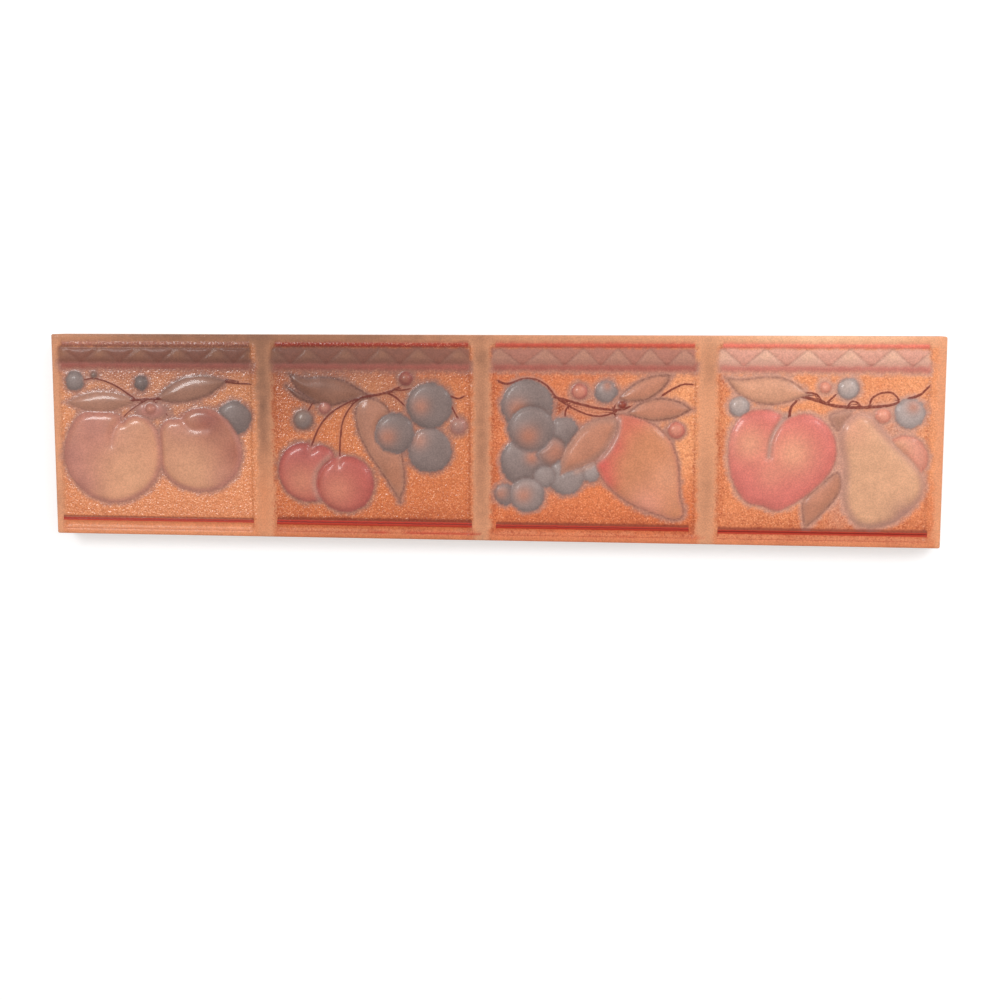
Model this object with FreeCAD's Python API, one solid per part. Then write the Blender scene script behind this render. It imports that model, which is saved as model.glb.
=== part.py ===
"""Relief border tile: one pressed and glazed strip with four sunk panels of fruit.

Millimetres. X runs along the strip, Y up the strip as it is hung, Z out of the face.
The origin is the middle of the back, which is the face that is bedded in adhesive.
"""
import FreeCAD
import Part
import math
import os

Vector = FreeCAD.Vector
UP = Vector(0, 0, 1)

# Driving dimensions of the strip
TILE_LENGTH = 200.0
TILE_WIDTH = 46.0
BODY_THICKNESS = 7.0
FACE_EDGE_RADIUS = 0.4
CORNER_RADIUS = 0.5

# The sunk panels, equally spaced along the strip
PANEL_COUNT = 4
LEFT_FRAME = 1.3
GUTTER = 4.2
BOTTOM_FRAME = 1.0
TOP_FRAME = 1.6
FIELD_DEPTH = 0.5
FIELD_CORNER_RADIUS = 1.2
FIELD_RIM_RADIUS = 0.3

# The ribbon band along the top of a panel, measured down from the tile's top edge
BAND_TOP_INSET = 2.7
BAND_HEIGHT = 3.9
BAND_RISE = 0.20
BAND_REPEATS = 5
TRIANGLE_RISE = 0.22
TRIANGLE_TOP_SHARE = 0.45

# Low beads: a rail above the band, a strip that laps under it, and a pair near the panel's foot
RAIL_WIDTH = 1.0
RAIL_RISE = 0.40
STRIP_WIDTH = 1.2
STRIP_RISE = 0.30
STRIP_LAP = 0.4
FOOT_LINE_INSET = 3.35
FOOT_LINE_WIDTH = 0.6
FOOT_LINE_RISE = 0.25
BEAD_END_GAP = 0.5

# Heights of the relief above the sunk field, and how far each form's foot is let into the field
FRUIT_RISE = 1.10
FRONT_FRUIT_RISE = 1.30
GRAPE_RISE = 0.75
FRONT_GRAPE_RISE = 0.95
BERRY_RISE = 0.85
BUD_RISE = 0.45
LEAF_RISE = 0.70
FRONT_LEAF_RISE = 1.15
FOOT_SINK = 0.30

# Creases and stem pits pressed into the fruit
CREASE_RADIUS = 0.55
PIT_RADIUS = 1.3
PIT_DEPTH = 0.5

# Keying grooves pressed into the back
KEY_COUNT = 4
KEY_WIDTH = 6.0
KEY_DEPTH = 0.8
KEY_END_MARGIN = 5.0
KEY_DRAFT = 0.4

# The sheet that one panel's fruit is drawn on, with its origin at the lower left
SHEET_LENGTH = 50.0
SHEET_WIDTH = 46.0

# A dome's section is a super-ellipse, taken at equal angles in degrees from its side to its flat crown
FOOT_SHARE = 1.03
DOME_POWER = 2.5
DOME_SECTIONS = 6
DOME_SIDE_ANGLE = 12.0
DOME_CROWN_ANGLE = 84.0

# How nearly two places or directions agree to count as the same
NEAR = 1e-6
UPRIGHT_SHARE = 0.99

panel_pitch = TILE_LENGTH / PANEL_COUNT
field_length = panel_pitch - GUTTER
field_z = BODY_THICKNESS - FIELD_DEPTH
field_bottom = -TILE_WIDTH / 2 + BOTTOM_FRAME
field_top = TILE_WIDTH / 2 - TOP_FRAME
band_top = TILE_WIDTH / 2 - BAND_TOP_INSET
band_bottom = band_top - BAND_HEIGHT
foot_line = -TILE_WIDTH / 2 + FOOT_LINE_INSET
art_scale = min(panel_pitch / SHEET_LENGTH, TILE_WIDTH / SHEET_WIDTH)


def field_left(panel):
    """X of a panel's left edge; the first panel is number 0."""
    return -TILE_LENGTH / 2 + panel * panel_pitch + LEFT_FRAME


def on_tile(panel, x, y):
    """A point of a panel's drawing sheet, as X and Y on the tile."""
    middle = -TILE_LENGTH / 2 + (panel + 0.5) * panel_pitch
    return Vector(middle + (x - SHEET_LENGTH / 2) * art_scale, (y - SHEET_WIDTH / 2) * art_scale, 0)


def block(x, y, z, length, width, height):
    return Part.makeBox(length, width, height, Vector(x, y, z))


def upright_edges(shape):
    """The straight edges of a shape that run along Z."""
    return [e for e in shape.Edges if abs(e.tangentAt(e.FirstParameter).z) > UPRIGHT_SHARE]


def edges_at_height(shape, z):
    """The edges of a shape that lie wholly at one height."""
    return [e for e in shape.Edges if max(abs(e.BoundBox.ZMin - z), abs(e.BoundBox.ZMax - z)) < NEAR]


# The strip itself

def strip():
    """The pressed strip with softened face edges."""
    body = block(-TILE_LENGTH / 2, -TILE_WIDTH / 2, 0, TILE_LENGTH, TILE_WIDTH, BODY_THICKNESS)
    body = body.makeFillet(CORNER_RADIUS, upright_edges(body))
    return body.makeFillet(FACE_EDGE_RADIUS, edges_at_height(body, BODY_THICKNESS))


def pocket(panel):
    """What is sunk from the face to make one panel's field."""
    height = field_top - field_bottom
    shape = block(field_left(panel), field_bottom, field_z, field_length, height, 2 * FIELD_DEPTH)
    return shape.makeFillet(FIELD_CORNER_RADIUS, upright_edges(shape))


def with_sunk_fields(body):
    """The strip with its fields pressed in and their rims rounded over."""
    sunk = body.cut([pocket(panel) for panel in range(PANEL_COUNT)])
    rims = [e for e in edges_at_height(sunk, BODY_THICKNESS) if inside_a_field(e.CenterOfMass)]
    return sunk.makeFillet(FIELD_RIM_RADIUS, rims)


def inside_a_field(point):
    """Whether a point of the face lies on or within some panel's rim."""
    for panel in range(PANEL_COUNT):
        left = field_left(panel)
        if left - NEAR < point.x < left + field_length + NEAR:
            if field_bottom - NEAR < point.y < field_top + NEAR:
                return True
    return False


def key_groove(number):
    """One lengthwise groove of the back, wider at its mouth so that it leaves the press."""
    spacing = TILE_WIDTH / KEY_COUNT
    y = -TILE_WIDTH / 2 + (number + 0.5) * spacing
    half_length = TILE_LENGTH / 2 - KEY_END_MARGIN
    mouth = rectangle(half_length, KEY_WIDTH / 2, y, 0)
    floor = rectangle(half_length - KEY_DRAFT, KEY_WIDTH / 2 - KEY_DRAFT, y, KEY_DEPTH)
    return Part.makeLoft([mouth, floor], True, True)


def rectangle(half_length, half_width, y, z):
    corners = [(-1, -1), (1, -1), (1, 1), (-1, 1), (-1, -1)]
    return Part.makePolygon([Vector(sx * half_length, y + sy * half_width, z) for sx, sy in corners])


# The band and beads that repeat on every panel

def cap_radius(half_width, rise):
    """Radius of the circle whose cap has that half width and rise."""
    return (half_width ** 2 + rise ** 2) / (2 * rise)


def bead(panel, y, width, rise):
    """A low round bead along a panel: the top of a bar that is let into the field."""
    radius = cap_radius(width / 2, rise)
    start = Vector(field_left(panel) + BEAD_END_GAP, y, field_z + rise - radius)
    return Part.makeCylinder(radius, field_length - 2 * BEAD_END_GAP, start, Vector(1, 0, 0))


def triangle_pillow(corners):
    """A hipped triangle that stands on the band."""
    middle = sum(corners, Vector()) / len(corners)
    top_z = field_z + BAND_RISE + TRIANGLE_RISE
    lower = [Vector(c.x, c.y, field_z) for c in corners]
    upper = [middle + (c - middle) * TRIANGLE_TOP_SHARE for c in corners]
    upper = [Vector(c.x, c.y, top_z) for c in upper]
    wires = [Part.makePolygon(points + points[:1]) for points in (lower, upper)]
    return Part.makeLoft(wires, True, True)


def ribbon_band(panel):
    """The band: a low bar with a row of triangles, pointing up and down in turn."""
    left = field_left(panel)
    half = field_length / BAND_REPEATS / 2
    bar = block(left, band_bottom, field_z - FOOT_SINK, field_length, BAND_HEIGHT, FOOT_SINK + BAND_RISE)
    pieces = [bar]
    for number in range(2 * BAND_REPEATS - 1):
        x = left + number * half
        foot, tip = (band_top, band_bottom) if number % 2 == 0 else (band_bottom, band_top)
        pieces.append(triangle_pillow([Vector(x, foot), Vector(x + 2 * half, foot), Vector(x + half, tip)]))
    return pieces


def mouldings(panel):
    """Everything that repeats on each panel."""
    beads = [
        bead(panel, band_top + RAIL_WIDTH / 2, RAIL_WIDTH, RAIL_RISE),
        bead(panel, band_bottom + STRIP_LAP - STRIP_WIDTH / 2, STRIP_WIDTH, STRIP_RISE),
        bead(panel, foot_line - FOOT_LINE_WIDTH / 2, FOOT_LINE_WIDTH, FOOT_LINE_RISE),
        bead(panel, foot_line + FOOT_LINE_WIDTH / 2, FOOT_LINE_WIDTH, FOOT_LINE_RISE),
    ]
    return ribbon_band(panel) + beads


# Round forms are caps of spheres, and the others are lofted through shrinking copies of their outline

def ball(panel, x, y, radius, rise):
    """A berry or a grape."""
    sphere = cap_radius(radius * art_scale, rise)
    centre = on_tile(panel, x, y) + UP * (field_z + rise - sphere)
    foot = math.degrees(math.asin((sphere - rise - FOOT_SINK) / sphere))
    return Part.makeSphere(sphere, centre, UP, foot, 90, 360)


def dome(outline, rise):
    """A pillowy dome over an outline that is given as a function of its share of full size."""
    foot = outline(FOOT_SHARE)
    foot.translate(UP * (field_z - FOOT_SINK))
    sections = [foot]
    angle_step = (DOME_CROWN_ANGLE - DOME_SIDE_ANGLE) / (DOME_SECTIONS - 1)
    for number in range(DOME_SECTIONS):
        angle = math.radians(DOME_SIDE_ANGLE + number * angle_step)
        wire = outline(math.cos(angle) ** (2 / DOME_POWER))
        wire.translate(UP * (field_z + rise * math.sin(angle) ** (2 / DOME_POWER)))
        sections.append(wire)
    return Part.makeLoft(sections, True)


def free_form(panel, points, rise):
    """A fruit whose outline is a smooth closed curve through a few points."""
    corners = [on_tile(panel, x, y) for x, y in points]
    middle = sum(corners, Vector()) / len(corners)

    def outline(share):
        curve = Part.BSplineCurve()
        curve.interpolate(Points=[middle + (c - middle) * share for c in corners], PeriodicFlag=True)
        return Part.Wire(curve.toShape())

    return dome(outline, rise)


def leaf(panel, stalk, tip, left_sag, right_sag, rise):
    """A leaf between two points, bounded by an arc on each side of the line from stalk to tip."""
    start, end = on_tile(panel, *stalk), on_tile(panel, *tip)
    middle = (start + end) / 2
    along = (end - start).normalize()
    left = Vector(-along.y, along.x, 0) * art_scale

    def outline(share):
        def shrink(point):
            return middle + (point - middle) * share

        over = Part.Arc(shrink(start), shrink(middle + left * left_sag), shrink(end))
        under = Part.Arc(shrink(end), shrink(middle - left * right_sag), shrink(start))
        return Part.Wire([over.toShape(), under.toShape()])

    return dome(outline, rise)


def curled_leaf(panel, stalk, one_side, tip, other_side, rise):
    """A leaf with a free curve on each side, through the points from stalk to tip and back."""
    there = [on_tile(panel, *p) for p in (stalk, *one_side, tip)]
    back = [on_tile(panel, *p) for p in (tip, *other_side, stalk)]
    middle = sum(there + back, Vector()) / len(there + back)

    def outline(share):
        edges = []
        for side in (there, back):
            curve = Part.BSplineCurve()
            curve.interpolate([middle + (point - middle) * share for point in side])
            edges.append(curve.toShape())
        return Part.Wire(edges)

    return dome(outline, rise)


def crease(panel, start, bend, end, rise):
    """The groove that runs down a peach and out, to be cut from it: a round bar along a rising arc."""
    low = UP * (field_z + rise)
    high = low + UP * CREASE_RADIUS
    places = (on_tile(panel, *start) + low, on_tile(panel, *bend) + low, on_tile(panel, *end) + high)
    arc = Part.Arc(*places).toShape()
    path = Part.Wire(arc)
    ring = Part.Circle(path.Vertexes[0].Point, arc.tangentAt(arc.FirstParameter), CREASE_RADIUS)
    return path.makePipeShell([Part.Wire(ring.toShape())], True, False)


def stem_pit(panel, x, y, rise):
    """The hollow that a cherry's stalk stands in, to be cut out of it."""
    centre = on_tile(panel, x, y) + UP * (field_z + rise - PIT_DEPTH + PIT_RADIUS)
    return Part.makeSphere(PIT_RADIUS, centre, Vector(0, 1, 0))


# The four panels' fruit, in millimetres on the drawing sheet

def peaches(panel):
    left = [
        (16.4, 26.3), (14.2, 28.1), (8.5, 28.4), (4.0, 25.0), (2.2, 18.5), (4.3, 12.4), (9.4, 8.2),
        (15.5, 7.5), (21.4, 10.2), (24.9, 15.5), (25.0, 22.2), (21.6, 27.0), (18.2, 27.2),
    ]
    right = [
        (25.2, 18.0), (25.3, 24.4), (28.4, 26.9), (30.6, 27.8), (34.5, 29.4), (39.8, 27.7),
        (44.0, 21.5), (42.6, 14.2), (38.0, 10.7), (32.0, 10.4), (27.0, 13.0),
    ]
    bud = [(23.2, 30.5), (26.8, 28.6), (23.2, 26.7), (19.6, 28.6)]
    left_crease = crease(panel, (16.3, 27.2), (14.4, 24.2), (13.7, 20.8), FRUIT_RISE)
    right_crease = crease(panel, (30.2, 27.8), (32.2, 25.2), (36.2, 24.6), FRUIT_RISE)
    return [
        free_form(panel, left, FRUIT_RISE).cut(left_crease),
        free_form(panel, right, FRUIT_RISE).cut(right_crease),
        free_form(panel, bud, BUD_RISE),
        ball(panel, 42.5, 27.1, 3.95, GRAPE_RISE),
        ball(panel, 5.25, 35.3, 2.3, BERRY_RISE),
        ball(panel, 20.9, 34.9, 1.7, BERRY_RISE),
        ball(panel, 23.0, 29.0, 1.25, BERRY_RISE),
        ball(panel, 9.8, 36.7, 0.85, BUD_RISE),
        leaf(panel, (19.4, 31.0), (3.3, 30.4), 2.3, 2.3, LEAF_RISE),
        leaf(panel, (24.4, 31.3), (40.8, 35.3), 3.2, 2.3, LEAF_RISE),
    ]


def cherries(panel):
    back = [
        (10.6, 20.9), (14.4, 20.5), (16.2, 15.2), (13.5, 9.2), (9.6, 8.2), (5.6, 9.6), (2.9, 14.5),
        (4.4, 19.9), (8.2, 21.7),
    ]
    front = [(18.2, 18.8), (24.8, 12.4), (18.2, 6.0), (11.6, 12.4)]
    upper_over = [(20.5, 34.4), (17.5, 35.9), (13.5, 36.5), (9.5, 36.3)]
    upper_under = [(6.4, 35.2), (8.3, 33.0), (11.5, 31.0), (14.5, 30.1), (17.2, 30.7)]
    hanging_left = [(21.0, 30.0), (21.6, 23.6), (23.8, 19.2), (26.8, 14.8)]
    hanging_right = [(31.7, 12.5), (31.4, 17.5), (29.5, 26.0), (27.4, 30.2)]
    return [
        free_form(panel, back, FRUIT_RISE).cut(stem_pit(panel, 10.4, 20.2, FRUIT_RISE)),
        free_form(panel, front, FRONT_FRUIT_RISE).cut(stem_pit(panel, 16.8, 17.6, FRONT_FRUIT_RISE)),
        ball(panel, 37.5, 30.3, 5.2, FRONT_GRAPE_RISE),
        ball(panel, 29.5, 24.0, 4.6, FRONT_GRAPE_RISE),
        ball(panel, 37.5, 20.3, 5.1, GRAPE_RISE),
        ball(panel, 8.6, 26.9, 2.3, BERRY_RISE),
        ball(panel, 13.6, 29.6, 1.35, BUD_RISE),
        ball(panel, 32.2, 36.3, 1.55, BERRY_RISE),
        ball(panel, 44.0, 25.8, 1.85, BERRY_RISE),
        curled_leaf(panel, (23.8, 32.3), upper_over, (5.7, 37.1), upper_under, LEAF_RISE),
        curled_leaf(panel, (23.6, 32.0), hanging_left, (30.6, 8.9), hanging_right, LEAF_RISE),
    ]


def grapes_and_lemon(panel):
    lemon = [
        (29.2, 28.2), (35.2, 27.7), (41.6, 22.4), (43.3, 13.5), (44.3, 8.0), (43.0, 5.5), (39.0, 6.4),
        (31.0, 9.8), (25.7, 15.4), (25.6, 22.0),
    ]
    front_over = [(25.2, 27.6), (21.6, 25.7), (18.6, 22.0), (16.9, 18.0)]
    front_under = [(20.2, 15.9), (23.8, 17.9), (27.0, 20.5), (29.0, 24.0)]
    return [
        free_form(panel, lemon, FRUIT_RISE),
        ball(panel, 9.5, 30.5, 5.8, GRAPE_RISE),
        ball(panel, 10.4, 25.3, 5.2, FRONT_GRAPE_RISE),
        ball(panel, 9.2, 17.9, 5.6, GRAPE_RISE),
        ball(panel, 9.5, 10.5, 3.85, FRONT_GRAPE_RISE),
        ball(panel, 4.0, 10.8, 2.0, BERRY_RISE),
        ball(panel, 17.6, 24.4, 3.7, GRAPE_RISE),
        ball(panel, 15.0, 20.2, 3.4, GRAPE_RISE),
        ball(panel, 18.2, 14.6, 4.0, GRAPE_RISE),
        ball(panel, 23.6, 15.8, 2.3, BERRY_RISE),
        ball(panel, 21.1, 33.7, 1.8, BERRY_RISE),
        ball(panel, 27.0, 33.7, 2.5, BERRY_RISE),
        ball(panel, 42.5, 25.3, 1.85, BERRY_RISE),
        ball(panel, 16.4, 29.8, 1.3, BUD_RISE),
        curled_leaf(panel, (29.2, 27.9), front_over, (16.7, 14.2), front_under, FRONT_LEAF_RISE),
        leaf(panel, (30.0, 32.2), (41.0, 37.3), 1.6, 2.6, LEAF_RISE),
        leaf(panel, (31.9, 28.9), (45.5, 29.9), 2.8, 1.9, LEAF_RISE),
    ]


def peach_and_pear(panel):
    peach = [
        (16.2, 28.3), (13.0, 29.9), (7.6, 29.2), (4.3, 24.0), (4.4, 16.0), (8.0, 9.7), (14.2, 7.8),
        (19.6, 10.2), (25.5, 15.6), (27.3, 21.0), (25.0, 27.2), (19.8, 29.2),
    ]
    pear = [
        (31.5, 29.2), (35.6, 27.2), (39.5, 23.0), (45.2, 17.0), (45.8, 11.6), (41.5, 6.6), (35.2, 4.3),
        (30.4, 6.8), (29.0, 13.0), (28.2, 22.0), (28.4, 26.8),
    ]
    upper_over = [(17.0, 36.2), (14.0, 37.1), (10.0, 36.9), (6.0, 36.5)]
    upper_under = [(5.4, 34.0), (8.0, 32.3), (11.5, 31.2), (15.5, 31.5)]
    lower_left = [(24.0, 13.4), (20.6, 10.2), (20.4, 7.0)]
    lower_right = [(23.2, 6.0), (26.0, 9.0), (28.4, 12.8)]
    small_leaf = [(25.6, 28.6), (28.0, 29.8), (30.2, 29.9), (29.2, 27.6), (27.4, 25.6)]
    cleft = crease(panel, (16.4, 28.8), (13.6, 25.0), (12.7, 19.7), FRUIT_RISE)
    return [
        free_form(panel, peach, FRUIT_RISE).cut(cleft),
        free_form(panel, pear, FRONT_FRUIT_RISE),
        free_form(panel, small_leaf, BUD_RISE),
        ball(panel, 41.9, 19.7, 4.9, GRAPE_RISE),
        ball(panel, 6.2, 30.6, 2.3, BERRY_RISE),
        ball(panel, 24.5, 34.9, 1.25, BERRY_RISE),
        ball(panel, 29.5, 34.7, 2.35, BERRY_RISE),
        ball(panel, 42.7, 29.4, 3.3, BERRY_RISE),
        ball(panel, 37.0, 28.9, 1.65, BERRY_RISE),
        curled_leaf(panel, (20.8, 33.3), upper_over, (3.0, 37.0), upper_under, LEAF_RISE),
        curled_leaf(panel, (27.6, 16.4), lower_left, (21.0, 4.2), lower_right, LEAF_RISE),
    ]


PANELS = (peaches, cherries, grapes_and_lemon, peach_and_pear)


def border_tile():
    """The finished strip as one solid."""
    body = with_sunk_fields(strip())
    body = body.cut([key_groove(number) for number in range(KEY_COUNT)])
    relief = []
    for panel in range(PANEL_COUNT):
        relief += mouldings(panel)
        relief += PANELS[panel % len(PANELS)](panel)
    return body.multiFuse(relief)


def main():
    tile = border_tile()
    solids = tile.Solids
    print("solids", len(solids), "valid", tile.isValid(), "volume", round(tile.Volume, 1))
    os.makedirs("parts", exist_ok=True)
    solids[0].exportStep("parts/border_tile.step")


main()
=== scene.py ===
"""Looks of the relief border tile: one closed mesh with its moulded fruit, and its painted glaze.

The face is drawn in millimetres from the tile's lower left corner, one sheet to a panel, and is turned into
metres in the part's own frame when the mesh is made.
"""
import math

import bpy
import numpy as np
from mathutils import Matrix, Vector, geometry


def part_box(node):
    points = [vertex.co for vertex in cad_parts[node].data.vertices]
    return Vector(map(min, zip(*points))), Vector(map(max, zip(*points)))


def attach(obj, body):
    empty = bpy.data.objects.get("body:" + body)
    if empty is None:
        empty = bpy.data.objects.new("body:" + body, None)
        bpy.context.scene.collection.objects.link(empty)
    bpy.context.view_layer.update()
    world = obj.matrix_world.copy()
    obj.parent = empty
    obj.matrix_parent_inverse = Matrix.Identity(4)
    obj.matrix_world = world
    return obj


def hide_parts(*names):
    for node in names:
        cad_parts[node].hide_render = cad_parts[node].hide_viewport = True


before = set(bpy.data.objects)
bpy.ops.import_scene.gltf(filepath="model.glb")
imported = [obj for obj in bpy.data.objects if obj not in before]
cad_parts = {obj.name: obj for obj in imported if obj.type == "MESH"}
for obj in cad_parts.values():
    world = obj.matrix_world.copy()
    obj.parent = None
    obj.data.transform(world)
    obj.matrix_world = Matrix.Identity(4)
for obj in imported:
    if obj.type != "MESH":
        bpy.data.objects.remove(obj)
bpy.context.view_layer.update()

tile_low, tile_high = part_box("border_tile")

# Sizes of the strip, in millimetres
MM = 0.001
TILE_LENGTH = (tile_high.x - tile_low.x) / MM
TILE_WIDTH = (tile_high.y - tile_low.y) / MM
BODY_THICKNESS = 7.0
EDGE_RADIUS = 0.4
PANEL_COUNT = 4
LEFT_FRAME = 1.3
GUTTER = 4.2
BOTTOM_FRAME = 1.0
TOP_FRAME = 1.6
FIELD_DEPTH = 0.5
FIELD_CORNER = 1.2
FIELD_SLOPE = 1.0
PANEL_PITCH = TILE_LENGTH / PANEL_COUNT
FIELD_LENGTH = PANEL_PITCH - GUTTER
FIELD_HEIGHT = TILE_WIDTH - BOTTOM_FRAME - TOP_FRAME
FIELD_Z = BODY_THICKNESS - FIELD_DEPTH

# Keying grooves of the back, in millimetres
KEY_COUNT = 4
KEY_WIDTH = 6.0
KEY_DEPTH = 0.8
KEY_END_MARGIN = 5.0
KEY_DRAFT = 0.4

# How finely the face is divided
EDGE_CELLS = 3
FIELD_COLUMNS = 146
STRIP_ROWS = 4
FOOT_ROWS = 8
FIELD_ROWS = 128
FRAME_ROWS = 2
GUTTER_COLUMNS = 7
SIDE_LEVELS = (0.5, 0.0)
SHARP_DEGREES = 62

# Heights of the relief above the sunk field, in millimetres
FRUIT_RISE = 1.10
FRONT_FRUIT_RISE = 1.30
GRAPE_RISE = 0.75
FRONT_GRAPE_RISE = 0.95
BERRY_RISE = 0.85
BUD_RISE = 0.45
LEAF_RISE = 0.70
FRONT_LEAF_RISE = 1.15
STEM_RISE = 0.22
GRAIN_RISE = 0.05

# How an edge of the relief is rounded, and what it does to its surroundings
EDGE_WIDTH = 2.4
FILLET = 0.15
CROWN_SHARE = 0.35
MOAT_WIDTH = 0.8
MOAT_SHARE = 0.45
HALO_WIDTH = 1.5
HALO_PLATEAU = 0.2
LEAF_EDGE = 2.6
GRAPE_EDGE = 1.8
FRUIT_EDGE = 2.0
RAGGED = 0.2
SOFTNESS = 0.22
BLOTCH = 0.13
INK_REACH = (0.6, 1.2)
FAR = 9.0
BEHIND_FADE = 0.5
FILLET_REACH = 1.5
ROUGH_CELLS = (0.5, 1.4)
HALO_RAGGED = 0.6
HALO_CALM = 0.6
BLOTCH_CELL = 2.2
RIM_START = 0.15
CREASE_LIMIT = 0.8
STEM_SKIRT = 0.35
STEM_HALO = 0.35
STEM_HALO_WIDTH = 1.2
STEM_DULL = (0.1, 0.7)

# The ground's edge: its softness and raggedness, calmer near the band, and how far it runs past each end
GROUND_EDGE = 1.4
GROUND_RAGGED = 0.9
GROUND_CALM = 0.7
CALM_ROWS = (40, 43)
PAINT_STARTS = (0.0, 0.1, 0.65, 0.6)
PAINT_ENDS = (1.3, 0.9, 0.8, 2.0)

# How the ground's colour runs on over the bottom frame
FOOT_COVER = 0.8
RUN_ENDS = (-0.4, 0.8)
RUN_ROWS = (1.5, 3.0)

# Where the ground is golden: towards the top, and on the right of some panels
GOLD_SHARE = 0.55
GOLD_ROWS = (6, 34)
RIGHT_GOLD = (0.0, 0.0, 0.8, 0.6)
RIGHT_COLUMNS = (30, 44)
RIGHT_ROWS = (8, 20)

# Where the ground is rusty: on its left, at its foot and along its edges
WORN_LEFT = (0.6, 3.6)
WORN_FOOT = (3.6, 10.0)
WORN_EDGE = (0.3, 2.0)
RUST_SHARES = (0.35, 1.1, 1.1, 1.05)

# Painted shade along the middle of the field's sloped edges, and red glaze spilt along the foot
SLOPE_SHADE_HALF = 0.45
SLOPE_SHADE = 0.08
SPILLS = (0.0, 0.7, 0.25, 0.0)
SPILL_LINE = 1.5
SPILL_EDGE = (0.1, 0.5)
SPILL_PATCHES = (0.45, 0.7)
SPILL_COLUMNS = (12, 18)

# How much the stippled ground gleams, through its bumps and its painted glints
GLEAM_SHARES = (1.3, 0.6, 0.3, 0.3)
GLEAM_ROWS = (30, 38)
FOOT_STIPPLE = 0.25
FIELD_GLOSS = 0.6
GLOSS_EDGE = (0.8, 1.6)

# What the mesh keeps of the drawing beside its paint, with each layer's value where nothing is drawn
LAYERS = {
    "line": FAR, "ink": 0.0, "stem_line": FAR, "stem_ink": 0.0, "foot_line": FAR,
    # tone is a factor on the paint that holds the painted shadow of the tile's top left
    "ground": 0.0, "rust": 0.0, "gloss": 0.0, "tone": 1.0,
}

# How glossy some forms are, where the first panel's peaches are 1
BERRY_GLOSS = 0.7
CHERRY_GLOSS = 0.65
SATIN = 0.5
LEAF_GLOSS = 0.6
GRAPE_GLOSS = 0.3
DULL = 0.15


def srgb(red, green, blue):
    """A colour given in screen bytes, as the linear light that the mesh and the shaders hold."""
    share = np.array([red, green, blue]) / 255
    return np.where(share <= 0.04045, share / 12.92, ((share + 0.055) / 1.055) ** 2.4)


# Colours of the glaze
CREAM = srgb(224, 153, 112)
GROUNDS = (srgb(228, 140, 92), srgb(212, 115, 65), srgb(224, 121, 70), srgb(232, 138, 88))
GOLD = srgb(244, 164, 112)
RUST = srgb(176, 78, 42)
PAINTED_GLINT = srgb(252, 196, 154)
RED = srgb(110, 17, 8)
BRIGHT_RED = srgb(188, 40, 19)
MAUVE_RED = srgb(172, 92, 78)
BAND_LIGHT = srgb(206, 152, 133)
BAND_PINK = srgb(205, 140, 122)
HALOS = (srgb(180, 126, 110), srgb(166, 114, 97), srgb(180, 126, 108), srgb(200, 146, 126))
PALE_HALO = srgb(188, 142, 126)
BLUE_GREY = srgb(133, 112, 106)
PALE_BLUE = srgb(176, 158, 152)
DUSKY_BLUE = (PALE_BLUE + 2 * BLUE_GREY) / 3
BLUE_RIM = srgb(116, 102, 100)
GREY_RIM = srgb(180, 138, 122)
SPOT_ORANGE = srgb(190, 116, 86)
APRICOT = srgb(214, 148, 114)
PALE_APRICOT = srgb(222, 160, 122)
MAUVE = srgb(190, 123, 108)
ROSE = srgb(194, 124, 106)
BLUSH = srgb(164, 92, 76)
CHERRY = srgb(188, 90, 80)
CHERRY_LIGHT = srgb(206, 128, 100)
CHERRY_RIM = srgb(162, 80, 76)
LEMON = srgb(202, 129, 90)
LEMON_BLUSH = srgb(212, 96, 84)
PEACH_RED = srgb(215, 114, 102)
PEACH_GOLD = srgb(227, 156, 122)
PEAR = srgb(218, 161, 124)
PEAR_RIM = srgb(190, 138, 122)
PEAR_SHADE = srgb(168, 118, 104)
PINK_BERRY = srgb(210, 128, 106)
PALE_BERRY = srgb(226, 148, 124)
LEAF_BROWN = srgb(174, 122, 100)
LEAF_DARK = srgb(146, 94, 73)
LEAF_WARM = srgb(192, 126, 98)
LEAF_PALE = srgb(214, 152, 120)
LEAF_RIM = srgb(144, 98, 82)
INK = srgb(106, 58, 48)
STEM = srgb(118, 36, 22)
WARM_SHADE = srgb(178, 112, 82)
# Grime that is also used as painted shade, and the colour of a painted highlight
GRIME_AND_SHADE = srgb(150, 100, 74)
PAINTED_HIGHLIGHT_CREAM = srgb(252, 204, 164)
BISQUE = srgb(214, 170, 140)
DARK_BISQUE = srgb(206, 160, 130)
CLAY_SPECK = srgb(160, 112, 86)


def smooth(start, end, value):
    """Rises from 0 to 1 as the value goes from start to end."""
    share = np.clip((value - start) / (end - start), 0, 1)
    return share * share * (3 - 2 * share)


def blend(first, second, share):
    """Colours that go from the first to the second as the share goes from 0 to 1."""
    return first + (second - first) * share[:, None]


def mottle(x, y, cell, seed):
    """Soft random patches between 0 and 1, of about the given size."""
    columns = int(TILE_LENGTH / cell) + 3
    rows = int(TILE_WIDTH / cell) + 3
    lattice = np.random.default_rng(seed).random((rows, columns))
    across, up = x / cell, y / cell
    column, row = across.astype(int), up.astype(int)
    right, top = across - column, up - row
    right, top = right * right * (3 - 2 * right), top * top * (3 - 2 * top)
    lower = lattice[row, column] * (1 - right) + lattice[row, column + 1] * right
    upper = lattice[row + 1, column] * (1 - right) + lattice[row + 1, column + 1] * right
    return lower * (1 - top) + upper * top


# Lines and outlines of the drawing

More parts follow.
